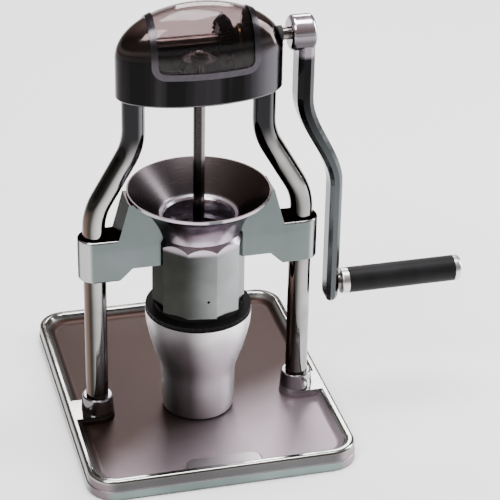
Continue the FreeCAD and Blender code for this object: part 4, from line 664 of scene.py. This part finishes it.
def arm_tone(made, sideways, flatness, nz):
    """Satin front and back, painted highlights on rounded edges, and painted shade on ends and tops."""
    satin = made.mix_colour(made.noise(*ARM_CLOUD), ARM_SATIN_DARK, ARM_SATIN_LIGHT)
    ends = made.mix_colour(made.step(nz, *ARM_TOP_SHADE_FACING), ARM_END_PAINTED_SHADE, ARM_TOP_PAINTED_SHADE)
    edges = made.mix_colour(made.step(sideways, *ARM_EDGE_HIGHLIGHT_FACING), ends, ARM_EDGE_PAINTED_HIGHLIGHT)
    return made.mix_colour(flatness, edges, satin)


def hopper_tone(made, nx, lines, throat):
    """Inside of the hopper with painted shade and light by facing, faint turned lines, and painted light
    in the shaded throat.
    """
    tone = made.mix_colour(made.step(nx, *HOPPER_RIGHT), HOPPER_LEFT_FACING_SHADE, HOPPER_RIGHT_FACING_LIGHT)
    tone = made.mix_colour(made.scaled(lines, *HOPPER_LINE_SHARE), tone, HOPPER_LINE)
    return made.mix_colour(throat, tone, THROAT_PAINTED_LIGHT)


def housing_metal():
    """Polished barrel and neck with painted light, shade and highlights, satin arms with painted
    highlights on their edges and painted shade on ends and tops, and a turned satin hopper with painted
    light in its throat.
    """
    made = Builder("housing_polished_and_satin")
    x, _, z = made.place()
    nx, ny, nz = made.facing()
    lines = made.turned_lines(HOUSING_LINES, HOUSING_WANDER)
    sideways = made.math("ABSOLUTE", ny)
    flatness = made.step(sideways, *ARM_FLAT)
    arms = made.math("MULTIPLY", made.step(made.math("ABSOLUTE", x), *ARM_X), made.step(z, *ARM_Z))
    arms = made.math("MAXIMUM", arms, made.step(sideways, *ARM_EXACT))
    cone = made.math("MULTIPLY", made.step(nz, *HOPPER_UPWARD), made.step(z, *HOPPER_Z))
    cone = made.math("MULTIPLY", cone, made.within(made.from_shaft(), HOPPER_RADIUS, HOPPER_SOFT))
    throat = made.math("MULTIPLY", made.within(z, THROAT_TOP, THROAT_TOP_SOFT),
                       made.within(made.from_shaft(), THROAT_RADIUS, THROAT_SOFT))
    hopper = made.math("MAXIMUM", cone, throat)

    neck = made.mix_colour(painted_highlight_band(made, *NECK_HIGHLIGHT_BAND), NECK_PAINTED_SHADE, NECK_PAINTED_HIGHLIGHT)
    body = made.mix_colour(made.step(z, *NECK_Z), barrel_tone(made, x, nx), neck)
    outside = made.mix_colour(arms, body, arm_tone(made, sideways, flatness, nz))
    tone = made.mix_colour(hopper, outside, hopper_tone(made, nx, lines, throat))

    rough = made.mix(made.math("MULTIPLY", arms, flatness), smudged(made, *HOUSING_POLISH),
                     made.scaled(made.noise(*ARM_GRAIN), *ARM_SATIN))
    rough = made.mix(made.step(z, *NECK_ROUGH_Z), rough, made.math("ADD", rough, NECK_EXTRA_ROUGHNESS))
    made.metal(tone, made.mix(hopper, rough, made.scaled(lines, *HOPPER_SATIN)))
    made.shader.inputs["Specular Tint"].default_value = HOUSING_EDGE_TINT
    made.bump(made.mix(hopper, made.math("MULTIPLY", made.noise(*HOUSING_GRAIN), HOUSING_GRAIN_SHARE),
                       made.math("MULTIPLY", lines, HOPPER_BUMP_SHARE)), *HOUSING_BUMP)
    return made.material


def case_wall_tone(made, z, nx):
    """Painted dark reflection with upright painted highlight streaks, a painted highlight right of the
    front, darker painted shade at the right end and a painted highlight along the rim.
    """
    painted_streaks = made.step(made.noise(*CASE_STREAKS, UPRIGHT_STREAKS), *CASE_STREAK_LIMITS)
    tone = made.mix_colour(painted_streaks, CASE_WALL_PAINTED_DARK, CASE_WALL_PAINTED_STREAK)
    tone = made.mix_colour(made.step(nx, *CASE_HIGHLIGHT_FACING), tone, CASE_WALL_PAINTED_HIGHLIGHT)
    tone = made.mix_colour(made.step(nx, *CASE_RIGHT_END), tone, CASE_WALL_RIGHT_PAINTED_SHADE)
    return made.mix_colour(made.step(z, *CASE_RIM_Z), CASE_RIM_PAINTED_HIGHLIGHT, tone)


def case_outer_skin(made):
    """1 on faces that look away from the middle of the case, and 0 on its inside."""
    x, y, z = made.place()
    nx, ny, nz = made.facing()
    level = made.weighed(x, nx, made.math("SUBTRACT", y, SHAFT_Y), ny)
    upward = made.math("MULTIPLY", made.math("SUBTRACT", z, CASE_MIDDLE_Z), nz)
    return made.step(made.math("ADD", level, upward), *CASE_SHELL)


def case_metal():
    """Dark polished case with painted reflections, light and shade that follow the facing, faint level
    brush marks on its wall, and painted shade inside.
    """
    made = Builder("case_dark_polished")
    z = made.place()["Z"]
    nx, _, nz = made.facing()
    marks = made.noise(*CASE_MARKS, LEVEL_MARKS)
    wall = made.inverse(made.step(nz, *CASE_WALL))
    dome = made.mix_colour(made.step(nz, *CASE_CROWN), CASE_DOME_LOW_PAINTED_SHADE, CASE_DOME_TOP_PAINTED_LIGHT)
    tone = made.mix_colour(wall, clouded(made, CASE_SHOULDER_PAINTED_REFLECTION), case_wall_tone(made, z, nx))
    tone = made.mix_colour(made.step(nz, *CASE_DOME), tone, dome)
    tone = made.mix_colour(case_outer_skin(made), CASE_INSIDE_PAINTED_SHADE, tone)
    made.metal(tone, made.mix(wall, smudged(made, *CASE_POLISH), made.scaled(marks, *CASE_BRUSHED)))
    made.bump(made.math("MULTIPLY", marks, wall), *CASE_BUMP)
    return made.material


def cup_metal():
    """Fine satin cup with turned lines, soft cloudiness and a painted highlight band that follows the
    facing.
    """
    made = Builder("cup_satin")
    lines = made.turned_lines(CUP_LINES, CUP_WANDER)
    cloud = made.noise(*CUP_CLOUD)
    share = made.math("ADD", painted_highlight_band(made, *CUP_HIGHLIGHT_BAND), made.scaled(cloud, *CUP_CLOUD_SHARE))
    rough = made.weighed(lines, CUP_LINE_SHARE, cloud, CUP_ROUGH_CLOUD_SHARE)
    made.metal(made.mix_colour(share, CUP_PAINTED_SHADE, CUP_PAINTED_HIGHLIGHT), made.scaled(rough, *CUP_SATIN), CUP_METALLIC)
    made.bump(made.average(lines, made.noise(*CUP_GRAIN)), *CUP_BUMP)
    return made.material


def crank_metal():
    """Polished arm: painted dark reflection above and a paler grey-green painted reflection towards the
    handle, each face direction with its own painted tone, and a boss with painted light on top and painted
    shade below.
    """
    made = Builder("crank_polish")
    z = made.place()["Z"]
    nx, ny, nz = made.facing()
    lower = made.inverse(made.step(z, *CRANK_LOWER_Z))
    front = made.step(made.math("ABSOLUTE", ny), *CRANK_FRONT)
    side = made.step(made.math("ABSOLUTE", nx), *CRANK_FLANK)
    face = made.mix_colour(lower, CRANK_FACE_UPPER, CRANK_FACE_LOWER)
    flank = made.mix_colour(lower, CRANK_FLANK_UPPER, CRANK_FLANK_LOWER)
    edge = made.mix_colour(lower, CRANK_EDGE_UPPER, CRANK_EDGE_LOWER)
    arm = made.mix_colour(side, made.mix_colour(front, edge, face), flank)
    boss = made.mix_colour(made.step(nz, *CRANK_BOSS_LIGHT_FACING), CRANK_BOSS_PAINTED_SHADE, CRANK_BOSS_PAINTED_LIGHT)
    made.metal(made.mix_colour(made.step(z, *CRANK_BOSS_Z), arm, boss), smudged(made, *CRANK_POLISH))
    made.bump(made.noise(*CRANK_RIPPLE), *CRANK_BUMP)
    return made.material


def black_finish(name, colour, matt, grain_scale, grain_height, gloss):
    """Black anodised metal, rubber or moulded plastic with a fine tooth."""
    made = Builder(name)
    grain = made.noise(grain_scale, LINE_DETAIL)
    cloud = made.noise(*BLACK_CLOUD)
    lighter = tuple(part * BLACK_LIGHTER for part in colour)
    tone = made.mix_colour(made.step(cloud, *BLACK_CLOUD_LIMITS), colour, lighter)
    rough = made.scaled(made.average(grain, cloud), *matt)
    made.link(tone, made.shader.inputs["Base Color"])
    made.link(rough, made.shader.inputs["Roughness"])
    made.shader.inputs["Specular IOR Level"].default_value = gloss
    made.bump(grain, BLACK_BUMP_STRENGTH, grain_height)
    return made.material


def window_material():
    """Smoky clear pane with faint smears."""
    made = Builder("window_clear_pane")
    made.shader.inputs["Base Color"].default_value = PANE_TINT
    made.shader.inputs["Transmission Weight"].default_value = 1.0
    made.shader.inputs["IOR"].default_value = PANE_IOR
    made.shader.inputs["Specular IOR Level"].default_value = PANE_SPECULAR_LEVEL
    smears = made.step(made.noise(*PANE_SMEAR), *PANE_SMEAR_LIMITS)
    made.link(made.scaled(smears, *PANE_POLISH), made.shader.inputs["Roughness"])
    made.bump(made.noise(*PANE_RIPPLE), *PANE_BUMP)
    return made.material


def floor_material():
    """Plain pale studio floor."""
    made = Builder("studio_floor")
    cloud = made.noise(*FLOOR_CLOUD)
    made.link(made.mix_colour(cloud, FLOOR_DARK, FLOOR_LIGHT), made.shader.inputs["Base Color"])
    made.link(made.scaled(cloud, *FLOOR_MATT), made.shader.inputs["Roughness"])
    made.bump(made.noise(*FLOOR_GRAIN), *FLOOR_BUMP)
    return made.material


# ------------------------------------------------------------ the object's pieces

def cover(material, names):
    """Gives some CAD nodes one material all over."""
    for name in names:
        slots = nodes_by_name[name].data.materials
        slots.clear()
        slots.append(material)


def dress_nodes():
    """Gives every CAD node its material."""
    cover(tray_metal(), ("base_tray",))
    cover(leg_chrome(), ("left_leg", "right_leg"))
    cover(housing_metal(), ("burr_housing",))
    cover(case_metal(), ("gear_case",))
    cover(cup_metal(), ("grounds_cup",))
    cover(window_material(), ("case_window",))
    cover(crank_metal(), ("crank_arm",))
    cover(window_trim(), ("window_frame",))
    for name, dark, light, polish, settings, pieces in TURNED_METALS:
        cover(turned_metal(name, dark, light, polish, **settings), pieces)
    for *values, pieces in BRUSHED_METALS:
        cover(brushed_metal(*values), pieces)
    for *values, pieces in BLACK_FINISHES:
        cover(black_finish(*values), pieces)


# ------------------------------------------------------------ stage

def make_floor():
    """Large level floor under the object."""
    mesh = bpy.data.meshes.new("floor")
    shaped = bmesh.new()
    bmesh.ops.create_grid(shaped, x_segments=FLOOR_SEGMENTS, y_segments=FLOOR_SEGMENTS,
                          size=FLOOR_HALF_SIZE)
    shaped.to_mesh(mesh)
    shaped.free()
    floor = bpy.data.objects.new("floor", mesh)
    bpy.context.scene.collection.objects.link(floor)
    mesh.materials.append(floor_material())


def make_camera():
    """Camera that looks at the target from the photograph's side and height."""
    right = Vector((math.cos(CAMERA_AZIMUTH), math.sin(CAMERA_AZIMUTH), 0))
    back = Vector((math.sin(CAMERA_AZIMUTH) * math.cos(CAMERA_ELEVATION),
                   -math.cos(CAMERA_AZIMUTH) * math.cos(CAMERA_ELEVATION),
                   math.sin(CAMERA_ELEVATION)))
    up = back.cross(right)
    rolled_right = right * math.cos(CAMERA_ROLL) + up * math.sin(CAMERA_ROLL)
    rolled_up = up * math.cos(CAMERA_ROLL) - right * math.sin(CAMERA_ROLL)
    data = bpy.data.cameras.new("camera")
    data.lens = CAMERA_LENS
    data.sensor_width = SENSOR_WIDTH
    data.clip_start = CLIP_START
    data.clip_end = CLIP_END
    camera = bpy.data.objects.new("camera", data)
    bpy.context.scene.collection.objects.link(camera)
    turn = Matrix((rolled_right, rolled_up, back)).transposed()
    camera.matrix_world = Matrix.Translation(CAMERA_TARGET + back * CAMERA_DISTANCE) @ turn.to_4x4()
    bpy.context.scene.camera = camera


def add_light(name, place, aim, width, height, watts, colour):
    """Softbox that faces a point."""
    data = bpy.data.lights.new(name, "AREA")
    data.shape = "RECTANGLE"
    data.size = width
    data.size_y = height
    data.energy = watts
    data.color = colour
    light = bpy.data.objects.new(name, data)
    light.location = place
    light.rotation_euler = (Vector(aim) - Vector(place)).to_track_quat("-Z", "Y").to_euler()
    bpy.context.scene.collection.objects.link(light)


def make_world():
    """Soft studio room: pale at the horizon, dim and warm above it, paler overhead."""
    world = bpy.data.worlds.new("studio")
    world.use_nodes = True
    tree = world.node_tree
    background = tree.nodes["Background"]
    coords = tree.nodes.new("ShaderNodeTexCoord")
    split = tree.nodes.new("ShaderNodeSeparateXYZ")
    ramp = tree.nodes.new("ShaderNodeValToRGB")
    stops = ramp.color_ramp.elements
    for stop, (position, colour) in zip(stops, (ROOM_HORIZON, ROOM_OVERHEAD)):
        stop.position = position
        stop.color = colour
    for position, colour in ROOM_BETWEEN:
        stops.new(position).color = colour
    tree.links.new(coords.outputs["Generated"], split.inputs[0])
    tree.links.new(split.outputs["Z"], ramp.inputs["Fac"])
    tree.links.new(ramp.outputs["Color"], background.inputs["Color"])
    background.inputs["Strength"].default_value = ROOM_STRENGTH
    bpy.context.scene.world = world


dress_nodes()
make_floor()
make_world()
for light in LIGHTS:
    add_light(*light)
make_camera()
